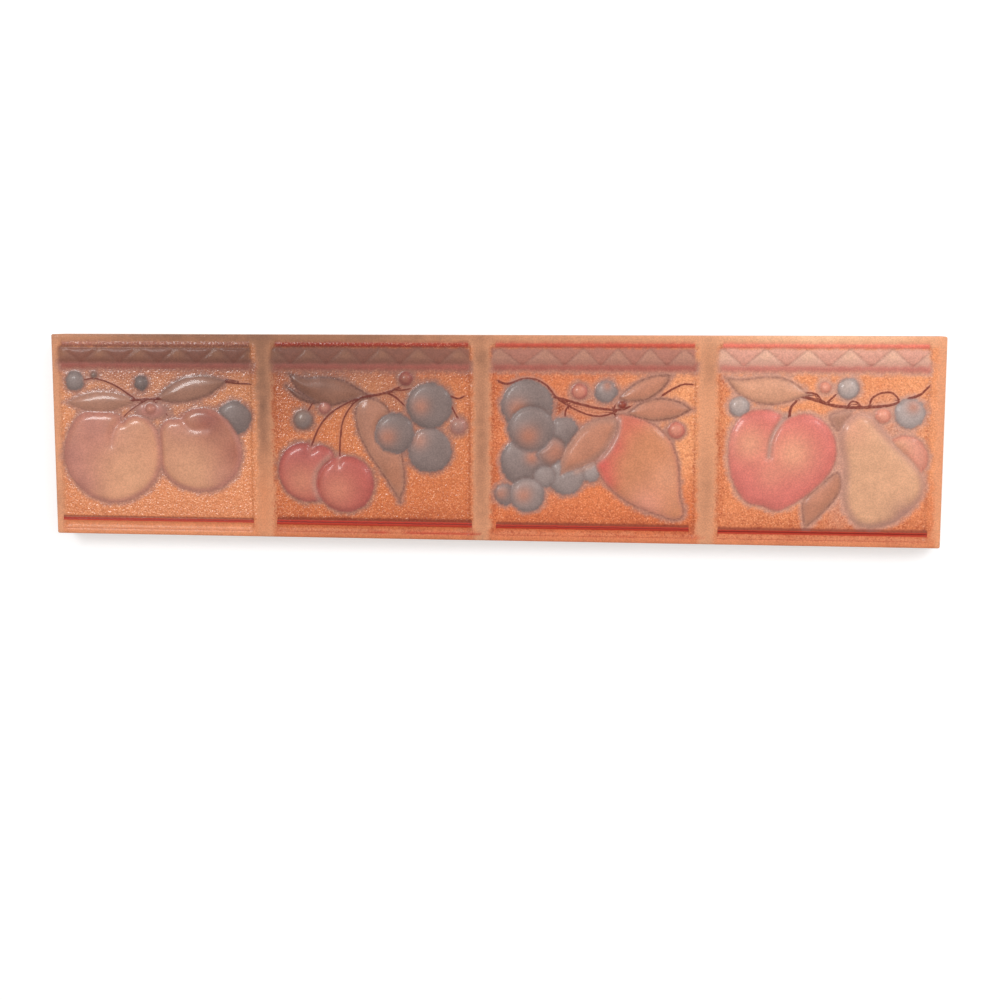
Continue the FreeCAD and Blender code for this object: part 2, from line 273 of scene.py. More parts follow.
def smooth_curve(points, closed, steps=6):
    """A smooth curve through a few points; a point given twice is a sharp corner."""
    points = np.array(points, float)
    if closed:
        padded = np.concatenate([points[-1:], points, points[:2]])
    else:
        padded = np.concatenate([points[:1], points, points[-1:]])
    share = np.arange(steps)[:, None] / steps
    spans = []
    for before, start, end, after in zip(padded, padded[1:], padded[2:], padded[3:]):
        spans.append(0.5 * (
            2 * start + (end - before) * share
            + (2 * before - 5 * start + 4 * end - after) * share ** 2
            + (3 * start - before - 3 * end + after) * share ** 3
        ))
    last = points[:1] if closed else points[-1:]
    curve = np.concatenate(spans + [last])
    moved = np.hypot(*np.diff(curve, axis=0).T) > 1e-6
    return np.concatenate([curve[:1], curve[1:][moved]])


def line_distance(curve, x, y):
    """How far points lie from a line of short runs, how far along it, from 0 to 1, and on which side."""
    start, run = curve[:-1], np.diff(curve, axis=0)
    across = x[:, None] - start[:, 0]
    up = y[:, None] - start[:, 1]
    share = np.clip((across * run[:, 0] + up * run[:, 1]) / (run ** 2).sum(1), 0, 1)
    distance = np.hypot(across - share * run[:, 0], up - share * run[:, 1])
    nearest = distance.argmin(1)
    rows = np.arange(len(x))
    along = (nearest + share[rows, nearest]) / len(run)
    side = np.sign(run[nearest, 0] * up[rows, nearest] - run[nearest, 1] * across[rows, nearest])
    return distance[rows, nearest], along, side


class Oval:
    """A round or oval outline."""

    def __init__(self, x, y, wide, tall=None):
        self.x, self.y, self.wide, self.tall = x, y, wide, tall or wide
        self.box = (x - self.wide, y - self.tall, x + self.wide, y + self.tall)

    def depth(self, x, y):
        """How far inside the outline points lie; less than 0 outside."""
        share = np.hypot((x - self.x) / self.wide, (y - self.y) / self.tall)
        return (1 - share) * min(self.wide, self.tall)


class Leaf:
    """A leaf from its stalk to its tip, with an arc on each side that stands out by the sags."""

    def __init__(self, stalk, tip, left_sag, right_sag):
        stalk, tip = np.array(stalk), np.array(tip)
        self.middle = (stalk + tip) / 2
        half = np.hypot(*(tip - stalk)) / 2
        along = (tip - stalk) / (2 * half)
        left = np.array([-along[1], along[0]])
        self.discs = []
        for side, sag in ((left, left_sag), (-left, right_sag)):
            radius = (half ** 2 + sag ** 2) / (2 * sag)
            self.discs.append((self.middle + side * (sag - radius), radius))
        self.box = (*(self.middle - half), *(self.middle + half))

    def depth(self, x, y):
        return np.minimum(*[radius - np.hypot(x - c[0], y - c[1]) for c, radius in self.discs])


class Blob:
    """A free outline: a smooth closed curve through a few points."""

    def __init__(self, *points):
        self.curve = smooth_curve(points, closed=True)
        self.box = (*self.curve.min(0), *self.curve.max(0))

    def depth(self, x, y):
        distance, _, _ = line_distance(self.curve, x, y)
        inside = np.zeros(len(x), bool)
        for (x1, y1), (x2, y2) in zip(self.curve, self.curve[1:]):
            if y1 != y2:
                crosses = ((y1 > y) != (y2 > y)) & (x < (x2 - x1) * (y - y1) / (y2 - y1) + x1)
                inside ^= crosses
        return np.where(inside, distance, -distance)


class Bar:
    """A straight bar with rounded corners."""

    def __init__(self, left, bottom, right, top, corner=0.3):
        self.box = (left, bottom, right, top)
        self.corner = corner

    def depth(self, x, y):
        left, bottom, right, top = self.box
        across = abs(x - (left + right) / 2) - (right - left) / 2 + self.corner
        up = abs(y - (bottom + top) / 2) - (top - bottom) / 2 + self.corner
        outside = np.hypot(np.maximum(across, 0), np.maximum(up, 0))
        return self.corner - outside - np.minimum(np.maximum(across, up), 0)


class Skin:
    """The colours of a form: its body, its rim, and soft patches as x, y, radius, colour and strength."""

    def __init__(self, body, rim, rim_width=1.2, rim_strength=0.7, patches=()):
        self.body, self.rim = body, rim
        self.rim_width, self.rim_strength = rim_width, rim_strength
        self.patches = patches

    def colour(self, x, y, depth):
        colour = np.tile(self.body, (len(x), 1))
        for patch_x, patch_y, radius, tone, strength in self.patches:
            share = strength * np.exp(-((x - patch_x) ** 2 + (y - patch_y) ** 2) / radius ** 2)
            colour = blend(colour, tone, share)
        share = self.rim_strength * (1 - smooth(RIM_START * self.rim_width, self.rim_width, depth))
        return blend(colour, self.rim, share)


class Canvas:
    """The tile's face as arrays, with one entry for each vertex of the face, in millimetres."""

    def __init__(self, x, y):
        self.x, self.y = x, y
        self.open_panel(0)
        count = len(x)
        self.height = np.full(count, FIELD_DEPTH)
        self.paint = np.tile(CREAM, (count, 1))
        self.form = np.zeros(count)
        for name, value in LAYERS.items():
            setattr(self, name, np.full(count, value))

    def open_panel(self, number):
        """What is drawn from here on is measured from that panel's lower left corner."""
        self.origin = number * PANEL_PITCH
        self.halo = HALOS[number]

    def close_to(self, box, margin):
        """The vertices near a box of the sheet, with their places on the sheet."""
        x = self.x - self.origin
        near = (x > box[0] - margin) & (x < box[2] + margin)
        near &= (self.y > box[1] - margin) & (self.y < box[3] + margin)
        near = np.flatnonzero(near)
        return near, x[near], self.y[near]

    def patches(self, near, cell, seed):
        """Random patches for some of the vertices, different on every panel."""
        return mottle(self.x[near], self.y[near], cell, seed)

    def tint(self, near, colour, share):
        self.paint[near] = blend(self.paint[near], colour, share)

    def daub(self, x, y, wide, tall, colour, strength, where):
        """A soft patch of colour for stains, painted shade and painted light, only as strong as the layer
        that says where it may lie.
        """
        near, x_near, y_near = self.close_to((x, y, x, y), 2 * max(wide, tall))
        share = np.exp(-((x_near - x) / wide) ** 2 - ((y_near - y) / tall) ** 2)
        self.tint(near, colour, strength * share * np.clip(where[near], 0, 1))

    def field(self, number):
        """One sunk panel with its stippled orange ground, deeper at its edges and its foot, and painted shade
        along its sloped edges.
        """
        self.open_panel(number)
        box = (LEFT_FRAME, BOTTOM_FRAME, LEFT_FRAME + FIELD_LENGTH, BOTTOM_FRAME + FIELD_HEIGHT)
        near, x, y = self.close_to(box, max(PAINT_ENDS))
        depth = Bar(*box, corner=FIELD_CORNER).depth(x, y)
        self.height[near] = FIELD_DEPTH * (1 - smooth(0, FIELD_SLOPE, depth))
        left, right = box[0] - PAINT_STARTS[number], box[2] + PAINT_ENDS[number]
        painted = Bar(left, box[1], right, box[3], corner=FIELD_CORNER).depth(x, y)
        ragged = GROUND_RAGGED - GROUND_CALM * smooth(*CALM_ROWS, y)
        cover = smooth(0, GROUND_EDGE, painted + ragged * (self.patches(near, 1.1, seed=11) - 0.5))
        ends = smooth(*RUN_ENDS, x - left) * smooth(*RUN_ENDS, right - x)
        runs_on = ends * (1 - smooth(*RUN_ROWS, y))
        cover = np.maximum(cover, FOOT_COVER * runs_on)
        gold = GOLD_SHARE * smooth(*GOLD_ROWS, y) * self.patches(near, 9.0, seed=5)
        gold = np.maximum(gold, RIGHT_GOLD[number] * smooth(*RIGHT_COLUMNS, x) * smooth(*RIGHT_ROWS, y))
        ground = blend(GROUNDS[number], GOLD, gold)
        worn = np.maximum(1 - smooth(*WORN_LEFT, x - box[0]), 1 - smooth(*WORN_FOOT, y))
        worn = np.maximum(worn, 0.5 * (1 - smooth(*WORN_EDGE, depth)))
        worn *= RUST_SHARES[number] * (0.35 + 0.65 * self.patches(near, 2.4, seed=8))
        ground = blend(ground, RUST, 0.5 * worn)
        self.tint(near, ground, cover)
        # Painted shade along the middle of the sloped edges
        slope_shade = 1 - smooth(0, SLOPE_SHADE_HALF, abs(depth - FIELD_SLOPE / 2))
        self.paint[near] *= 1 - SLOPE_SHADE * slope_shade[:, None]
        spill = smooth(*SPILL_PATCHES, self.patches(near, 4.0, seed=9))
        spill = spill * (1 - smooth(*SPILL_EDGE, abs(y - SPILL_LINE)))
        self.tint(near, BRIGHT_RED, SPILLS[number] * spill * smooth(*SPILL_COLUMNS, x))
        stippled = FOOT_STIPPLE + (1 - FOOT_STIPPLE) * smooth(FOOT_MIDDLE, FOOT_MIDDLE + 1, y)
        gleam = 1 + GLEAM_SHARES[number] * (1 - 0.4 * smooth(*GLEAM_ROWS, y))
        self.ground[near] = cover * stippled * gleam
        self.gloss[near] = FIELD_GLOSS * smooth(*GLOSS_EDGE, depth)
        self.rust[near] = smooth(-0.5, 0.5, depth) * (0.4 * RUST_SHARES[number] + 0.6 * worn)

    def mould(
        self, shape, rise, skin, edge=EDGE_WIDTH, halo=0.85, ink=0.25, ragged=RAGGED, soft=SOFTNESS,
        gloss=1.0,
    ):
        """Presses one form in front of all that is there, and paints it."""
        near, x, y = self.close_to(shape.box, HALO_WIDTH)
        depth = shape.depth(x, y)
        reach = depth.max()
        behind = self.height[near] * (1 - MOAT_SHARE * smooth(-MOAT_WIDTH, 0, depth))
        behind *= 1 - smooth(0, BEHIND_FADE, depth)
        pillow = 1 - (1 - np.clip(depth / min(edge, reach), -1, 1)) ** 2
        crown = 1 - (1 - np.clip(depth / reach, 0, 1)) ** 2
        front = rise * ((1 - CROWN_SHARE) * pillow + CROWN_SHARE * crown)
        fillet = min(FILLET, rise / 2) * smooth(-FILLET_REACH, 0, depth)
        self.height[near] = (behind + front + np.hypot(behind - front, fillet)) / 2
        fine_cell, coarse_cell = ROUGH_CELLS
        rough = self.patches(near, fine_cell, seed=31) + self.patches(near, coarse_cell, seed=32) - 1
        around = halo * smooth(-HALO_WIDTH, -HALO_PLATEAU, depth + HALO_RAGGED * rough)
        around = around * (1 - self.form[near])
        self.tint(near, self.halo, around)
        cover = smooth(-soft, soft, depth + ragged * rough)
        blotches = 1 + BLOTCH * (self.patches(near, BLOTCH_CELL, seed=33) - 0.5)
        self.tint(near, skin.colour(x, y, depth) * blotches[:, None], cover)
        self.form[near] = np.maximum(self.form[near], cover)
        self.ground[near] *= (1 - cover) * (1 - HALO_CALM * around)
        self.rust[near] *= (1 - cover) * (1 - around)
        self.gloss[near] += (gloss - self.gloss[near]) * cover
        nearest = (depth > 0) | (abs(depth) < abs(self.line[near]))
        self.line[near] = np.where(nearest, depth, self.line[near])
        self.ink[near] = np.where(nearest, ink * (1 - smooth(*INK_REACH, abs(depth))), self.ink[near])
        self.stem_ink[near] *= depth <= 0

    def crease(self, points, width, deep, colour, strength, fade=0.6):
        """A groove pressed into what is there, with its colour."""
        curve = smooth_curve(points, closed=False)
        near, x, y = self.close_to((*curve.min(0), *curve.max(0)), 2 * width)
        distance, along, _ = line_distance(curve, x, y)
        share = np.exp(-(distance / width) ** 2) * (1 - fade * along)
        self.height[near] -= np.minimum(deep * share, CREASE_LIMIT * self.height[near])
        self.tint(near, colour, strength * share)

    def stem(self, points, start_width, end_width=None, rise=STEM_RISE):
        """A stalk or tendril: a thin raised line."""
        end_width = end_width or start_width
        curve = smooth_curve(points, closed=False)
        near, x, y = self.close_to((*curve.min(0), *curve.max(0)), HALO_WIDTH)
        distance, along, side = line_distance(curve, x, y)
        half = (start_width + (end_width - start_width) * along) / 2
        ridge = rise * (1 - smooth(0, 1, distance / (half + STEM_SKIRT)))
        self.height[near] = np.maximum(self.height[near], 0) + ridge
        self.tint(near, self.halo, STEM_HALO * (1 - smooth(0, STEM_HALO_WIDTH, distance)))
        off = side * distance / half
        self.stem_line[near] = np.where(abs(off) < abs(self.stem_line[near]), off, self.stem_line[near])
        dull = smooth(*STEM_DULL, distance - half)
        self.stem_ink[near] = np.maximum(self.stem_ink[near], 1 - dull)
        self.gloss[near] *= dull
        self.ground[near] *= dull


# The band and the foot line that every panel has, in millimetres; insets are those of the left and right ends

BAND_BOTTOM = 39.4
BAND_TOP = 43.3
BAND_RISE = 0.42
BAND_EDGE = 1.7
BAND_GROOVE = 0.6
BAND_CORNER = 0.8
BAND_INSETS = (0.1, 0.5)
HALF_TRIANGLE = 4.5
HIGHLIGHT_WIDE = 1.5
HIGHLIGHT_UP = 2.2
HIGHLIGHT_TALL = 0.9
STRIP_RISE = 0.2
STRIP_INSETS = (0.6, 0.5)
STRIP_OVERLAP = 0.6
STRIP_SHADE_HALF = 1.8
STRIP_SHADES = (0.35, 0.35, 0.3, 0.0)
STRIP_BOTTOM = 38.3
RAIL_TOP = 44.4
RAIL_RISE = 0.4
RAIL_INSETS = (1.0, 0.7)
BAND_CONTRAST = (0.4, 0.6, 0.9, 0.9)
# Each panel's band colour: darker over the first two panels as painted shade, lighter over the last as
# painted light
BAND_TINTS_AND_SHADE = ((0.48, 0.36, 0.30), (0.51, 0.40, 0.35), (0.72, 0.62, 0.58), (1.08, 1.12, 1.10))
BAND_GLOSS = (0.1, 0.0, 0.2, 0.3)
BAND_HIGHLIGHTS = (0.5, 0.3, 0.15, 0.2)
RAIL_REDS = (srgb(190, 118, 98), srgb(186, 64, 44), srgb(205, 82, 60), srgb(230, 110, 90))
STRIP_REDS = (MAUVE_RED, MAUVE_RED, MAUVE_RED, srgb(195, 116, 101))
# How much the rail glitters: the stippled ground's bumps and painted glints
RAIL_SPARKLE = (1.8, 1.4, 0.2, 0.2)
BAND_PEAKS = (
    (2.3, 11.4, 20.5, 29.6, 38.7, 46.8),
    (1.9, 9.8, 18.4, 26.6, 35.0, 44.0),
    (3.2, 13.5, 22.0, 29.5, 36.5, 44.0),
    (2.3, 11.6, 20.7, 29.6, 38.7, 47.2),
)
FOOT_MIDDLE = 3.35
FOOT_HALF = 0.62
FOOT_RISE = 0.3
FOOT_MARGIN = 2.0
FOOT_SHOULDER = 0.3
FOOT_BESIDE = (0.5, 1.2)
FOOT_CALM = 0.8
FOOT_NARROWING = (1.4, 0.85, 1.05, 1.0)
FOOT_SHIFTS = (0.2, 0.2, 0.0, -0.35)
FOOT_STARTS = (0.2, 0.9, 1.0, 0.5)
FOOT_ENDS = (0.2, -0.2, 1.3, -0.4)


def zigzag(peaks):
    """The line between the band's upright and hanging triangles."""
    points = [(peaks[0] - HALF_TRIANGLE, BAND_BOTTOM)]
    for left, right in zip(peaks, peaks[1:]):
        points += [(left, BAND_TOP), ((left + right) / 2, BAND_BOTTOM)]
    return np.array(points + [(peaks[-1], BAND_TOP), (peaks[-1] + HALF_TRIANGLE, BAND_BOTTOM)])


def inset_bar(insets, bottom, top, corner=0.3):
    """A bar along the panel, drawn in from the panel's left and right ends."""
    return Bar(LEFT_FRAME + insets[0], bottom, LEFT_FRAME + FIELD_LENGTH - insets[1], top, corner)


def ribbon_band(canvas, number):
    """The band of pillowed triangles between a thick red line and a mauve strip."""
    strip = inset_bar(STRIP_INSETS, STRIP_BOTTOM, BAND_BOTTOM + STRIP_OVERLAP)
    # Painted shade on the ground just below the strip
    shade = (PANEL_PITCH / 2, STRIP_BOTTOM, PANEL_PITCH, STRIP_SHADE_HALF)
    canvas.daub(*shade, MAUVE_RED, STRIP_SHADES[number], canvas.ground)
    skin = Skin(STRIP_REDS[number], STRIP_REDS[number])
    canvas.mould(strip, STRIP_RISE, skin, edge=0.6, halo=0.8, ink=0, ragged=0.4, soft=0.6, gloss=DULL)
    rail = inset_bar(RAIL_INSETS, BAND_TOP, RAIL_TOP)
    skin = Skin(RAIL_REDS[number], RED, 0.3, 0.3)
    canvas.mould(rail, RAIL_RISE, skin, edge=0.5, halo=0.0, ink=0.0, ragged=0.1, gloss=SATIN)
    near, _, _ = canvas.close_to(rail.box, 0)
    canvas.ground[near] = RAIL_SPARKLE[number]
    band = inset_bar(BAND_INSETS, BAND_BOTTOM, BAND_TOP, BAND_CORNER)
    near, x, y = canvas.close_to(band.box, HALO_WIDTH)
    outline = band.depth(x, y)
    line = zigzag(BAND_PEAKS[number])
    groove, _, side = line_distance(line, x, y)
    depth = np.minimum(outline, groove + BAND_GROOVE)
    pillow = 1 - (1 - np.clip(depth / BAND_EDGE, 0, 1)) ** 2
    raised = np.maximum(BAND_RISE * pillow, np.minimum(canvas.height[near], STRIP_RISE))
    canvas.height[near] = np.where(outline > 0, raised, canvas.height[near])
    contrast = BAND_CONTRAST[number]
    hanging = smooth(-0.2, 0.2, y - np.interp(x, line[:, 0], line[:, 1]))
    middle = (BAND_LIGHT + BAND_PINK) / 2
    colour = middle + (BAND_PINK - BAND_LIGHT) * (contrast * (hanging - 0.5))[:, None]
    foot = 1 - smooth(0, 1.0, y - BAND_BOTTOM)
    colour = blend(colour, MAUVE_RED, foot * (0.3 + 0.5 * hanging))
    # Painted highlights on the upright triangles
    highlight = np.exp(-((x[:, None] - BAND_PEAKS[number]) / HIGHLIGHT_WIDE) ** 2).sum(1)
    highlight *= BAND_HIGHLIGHTS[number] * np.exp(-((y - BAND_BOTTOM - HIGHLIGHT_UP) / HIGHLIGHT_TALL) ** 2)
    colour = blend(colour, PAINTED_GLINT, highlight)
    cover = smooth(-0.4, 0.5, outline + 0.4 * (canvas.patches(near, 0.8, seed=35) - 0.5))
    canvas.tint(near, np.array(BAND_TINTS_AND_SHADE[number]) * colour, cover)
    canvas.ground[near] *= 1 - cover
    canvas.rust[near] *= 1 - cover
    canvas.gloss[near] += (BAND_GLOSS[number] - canvas.gloss[near]) * cover
    canvas.line[near] = np.where(outline > 0, side * groove, canvas.line[near])
    ink = 0.35 * contrast * (1 - smooth(*INK_REACH, groove))
    canvas.ink[near] = np.where(outline > 0, ink, canvas.ink[near])


def foot_line(canvas, number):
    """The double red line along the panel's foot: one low ridge, whose two lines the glaze draws."""
    left, right = LEFT_FRAME + FOOT_STARTS[number], LEFT_FRAME + FIELD_LENGTH - FOOT_ENDS[number]
    near, x, y = canvas.close_to((left, FOOT_MIDDLE, right, FOOT_MIDDLE), FOOT_MARGIN)
    off = y - FOOT_MIDDLE
    inside = (x > left) & (x < right)
    ridge = FOOT_RISE * (1 - smooth(FOOT_SHOULDER, 1, abs(off) / FOOT_HALF)) * inside
    canvas.height[near] = np.maximum(canvas.height[near], ridge)
    drawn = (off - FOOT_SHIFTS[number]) * FOOT_NARROWING[number]
    canvas.foot_line[near] = np.where(inside, drawn, FAR)
    beside = inside * (1 - smooth(*FOOT_BESIDE, abs(off)))
    canvas.ground[near] *= 1 - FOOT_CALM * beside
    canvas.gloss[near] *= 1 - beside


# The four panels' fruit, in millimetres on the sheet, from the back to the front

def grape(canvas, x, y, radius, rise=GRAPE_RISE, spot=None, body=BLUE_GREY):
    """A grape or a large berry, some with a warm spot given as x, y and radius."""
    patches = [(*spot, SPOT_ORANGE, 0.8)] if spot else []
    # A painted highlight on the upper left
    patches.append((x - 0.4 * radius, y + 0.5 * radius, 0.6 * radius, PALE_BLUE, 0.25))
    skin = Skin(body, BLUE_RIM, 1.0, 0.3, patches)
    canvas.mould(Oval(x, y, radius), rise, skin, edge=GRAPE_EDGE, ragged=2 * RAGGED, gloss=GRAPE_GLOSS)


def berry(canvas, x, y, radius, body, rim, rise=BERRY_RISE):
    """A small round berry, with a painted highlight on its upper left."""
    glow = [(x - 0.3 * radius, y + 0.3 * radius, 0.7 * radius, (body + PAINTED_GLINT) / 2, 0.22)]
    canvas.mould(Oval(x, y, radius), rise, Skin(body, rim, 0.9, 0.6, glow), gloss=BERRY_GLOSS)


def leaf(canvas, shape, body, rim, rim_width=1.1, ink=0.7, rise=LEAF_RISE, patches=(), gloss=LEAF_GLOSS):
    """A leaf, domed right across."""
    canvas.mould(shape, rise, Skin(body, rim, rim_width, 0.6, patches), edge=LEAF_EDGE, ink=ink, gloss=gloss)


def peaches(canvas):
    """First panel: two peaches, two leaves and a large berry."""
    canvas.stem([(7.6, 35.6), (10.2, 35.9), (14.6, 34.4), (19, 31.6)], 0.3, 0.4)
    canvas.stem([(40, 35.5), (43.2, 35), (46.4, 34.9)], 0.55, 0.3)
    canvas.stem([(41, 35.9), (43.8, 35.4)], 0.3)
    canvas.stem([(16.6, 27.2), (18.4, 28.8), (20.6, 30.2), (22, 31)], 0.25)
    canvas.stem([(23.6, 31), (25.4, 29.4), (26.8, 27.8)], 0.25)
    grape(canvas, 42.5, 27.1, 3.95)
    canvas.mould(Oval(23.2, 28.6, 3.6, 1.9), BUD_RISE, Skin(MAUVE, canvas.halo), ink=0.2)
    right = Blob(
        (25.3, 16), (25, 21), (25.3, 24.8), (27, 26.6), (29.4, 26.9), (30.6, 27.9),
        (33, 29.2), (36.4, 29.3), (39.8, 27.7), (42.6, 24.6), (44.2, 20.4), (43.7, 16.2),
        (41.4, 12.8), (38, 10.7), (34.3, 10.2), (30.2, 11), (27, 13),
    )
    # The strong blush over the right peach's top is partly painted shade
    patches = [
        (43.5, 19, 6, BLUSH, 0.8), (37, 27, 5.5, BLUSH, 1), (29, 25.5, 3.5, ROSE, 0.5),
        (40, 13, 4, MAUVE, 0.6), (33, 14.5, 5.5, PALE_APRICOT, 0.6),
    ]
    canvas.mould(right, FRUIT_RISE, Skin(0.93 * APRICOT, MAUVE, 1.4, 0.75, patches), edge=FRUIT_EDGE)
    canvas.crease([(30.2, 27.8), (31.2, 25.6), (33, 24.5), (36.2, 24.6)], 0.9, 0.4, ROSE, 0.5)
    left = Blob(
        (16.3, 26.2), (15, 27.8), (11.5, 28.4), (6.8, 28), (4, 25), (2.4, 20.6), (2.4, 16.4),
        (4.3, 12.4), (7.6, 9.2), (11.5, 7.6), (15.5, 7.5), (19.6, 9), (23, 11.8), (24.9, 15.5),
        (25.3, 19.6), (24.4, 24), (22.2, 26.7), (19.4, 27.5), (17.4, 26.9),
    )
    patches = [
        (3.5, 18, 6.5, MAUVE, 0.95), (6.5, 11.5, 4.5, MAUVE, 0.85), (9, 26.5, 6.5, ROSE, 0.95),
        (10.5, 22, 4, ROSE, 0.6), (18.5, 13, 6.5, PALE_APRICOT, 0.8),
    ]
    canvas.mould(left, FRUIT_RISE, Skin(APRICOT, MAUVE, 1.4, 0.75, patches), edge=FRUIT_EDGE)
    canvas.crease([(16.3, 26.9), (14.8, 25), (13.9, 22.8), (13.7, 20.8)], 0.8, 0.45, MAUVE, 0.6)
    leaf(canvas, Leaf((19.4, 31), (3.3, 30.4), 2.3, 2.3), 1.15 * LEAF_BROWN, LEAF_BROWN, ink=0.2, gloss=1)
    leaf(canvas, Leaf((24.4, 31.3), (40.8, 35.3), 3.2, 2.3), LEAF_BROWN, LEAF_RIM, ink=0.4, gloss=1)
    canvas.stem([(18.8, 31), (21.8, 31.2), (25.2, 31.4)], 0.55)
    berry(canvas, 23, 29, 1.25, ROSE, MAUVE)
    grape(canvas, 5.25, 35.3, 2.3, BERRY_RISE, body=DUSKY_BLUE)
    berry(canvas, 9.8, 36.7, 0.85, BLUE_GREY, LEAF_RIM, BUD_RISE)
    grape(canvas, 20.9, 34.9, 1.7, BERRY_RISE)


def cherries(canvas):
    """Second panel: a pair of cherries, three grapes and a hanging leaf."""
    # Painted shade in rust colour on the ground at the panel's upper left
    canvas.daub(4, 30, 6, 8, RUST, 0.5, canvas.ground)
    canvas.stem([(9.8, 29), (10.8, 30.6)], 0.35)
    canvas.stem([(23.8, 32.3), (28, 33.2), (30.6, 34.4)], 0.6, 0.4)
    canvas.stem([(28.2, 33), (30, 32), (31.6, 30.5)], 0.5, 0.35)
    canvas.stem([(29.6, 33.9), (31, 33.7), (33, 34)], 0.5, 0.3)
    canvas.stem([(42.4, 32.4), (44, 31.9), (45.3, 32.4)], 0.5, 0.35)
    canvas.stem([(42.6, 30), (44, 27.4)], 0.4)
    hanging = Blob(
        (23.6, 32), (23.6, 32), (21.4, 30.8), (20.7, 27.8), (21.6, 23.6), (23.8, 19.2), (26.8, 14.8),
        (30.6, 8.9), (30.6, 8.9), (31.7, 12.5), (31.4, 17.5), (30.6, 21.5), (29.5, 26), (27.4, 30.2),
    )
    patches = [(29.4, 14, 4.5, WARM_SHADE, 0.7)]
    leaf(canvas, hanging, (LEAF_WARM + LEAF_BROWN) / 2, LEAF_BROWN, ink=0.6, patches=patches)
    fold = Blob(
        (5, 34.3), (5, 34.3), (7.4, 33.2), (11, 31.6), (12.6, 31.2), (11.4, 30.6), (9.4, 31), (6.9, 32.3),
    )
    leaf(canvas, fold, LEAF_RIM, LEAF_RIM, ink=0.8, rise=BUD_RISE)
    upper = Blob(
        (5.7, 37.1), (5.7, 37.1), (9.5, 36.3), (13.5, 36.5), (17.5, 35.9), (20.5, 34.4), (23.8, 32.3),
        (23.8, 32.3), (20.8, 31.7), (17.2, 30.7), (14.5, 30.1), (11.5, 31), (8.3, 33), (6.4, 35.2),
    )
    leaf(canvas, upper, LEAF_DARK, LEAF_RIM, ink=0.8, patches=[(17, 33, 4, LEAF_BROWN, 0.4)])
    berry(canvas, 13.6, 29.6, 1.35, ROSE, CHERRY_RIM, BUD_RISE)
    canvas.stem([(23.6, 32.3), (19.8, 31.2), (15.2, 28.6), (12.4, 25.4), (10.5, 21.2)], 0.35, 0.45)
    canvas.stem([(22.4, 32.2), (19.8, 30.2), (17.9, 27), (17.2, 23.4), (16.9, 18.4)], 0.35, 0.4)
    back = Blob(
        (10.6, 20.8), (12.6, 21.2), (14.9, 20.2), (16, 17.5), (16, 12.5), (13.5, 9.2), (9.6, 8.2), (5.6, 9.6),
        (3.2, 12.8), (2.8, 16.4), (4.4, 19.9), (7.2, 21.5), (9.4, 21.6),
    )
    glow = [(8.5, 13, 4.6, CHERRY_LIGHT, 0.9), (9, 19.4, 3, CHERRY_RIM, 0.5)]
    skin = Skin(CHERRY, CHERRY_RIM, 1, 0.5, glow)
    canvas.mould(back, FRUIT_RISE, skin, edge=FRUIT_EDGE, ink=0.35, gloss=CHERRY_GLOSS)
    canvas.crease([(10.6, 21), (10.4, 19.6)], 0.7, 0.5, MAUVE, 0.7)
    seam = [(14.4, 18.4), (12, 15.6), (11.3, 12.4), (12.2, 8.8)]
    canvas.crease(seam, 0.8, 0, PALE_HALO, 0.6, fade=0)
    front = Oval(18.2, 12.4, 6.6, 6.4)
    glow = [(16.6, 11, 4.4, CHERRY_LIGHT, 0.75)]
    skin = Skin(0.95 * CHERRY, CHERRY_RIM, 1, 0.4, glow)
    canvas.mould(front, FRONT_FRUIT_RISE, skin, edge=FRUIT_EDGE, ink=0.2, gloss=CHERRY_GLOSS)
    canvas.crease([(16.8, 18.6), (16.7, 16.6)], 0.75, 0.6, MAUVE, 0.8)
    grape(canvas, 37.5, 20.3, 5.1, spot=(35.2, 22.6, 1.9))
    grape(canvas, 37.5, 30.3, 5.2, FRONT_GRAPE_RISE, spot=(35.6, 30.4, 2))
    grape(canvas, 29.5, 24, 4.6, FRONT_GRAPE_RISE, spot=(28, 23.5, 2.1))
    berry(canvas, 8.6, 26.9, 2.3, BLUE_GREY, LEAF_RIM)
    berry(canvas, 32.2, 36.3, 1.55, BLUSH, CHERRY_RIM)
    berry(canvas, 44, 25.8, 1.85, (BLUE_GREY + MAUVE) / 2, MAUVE)


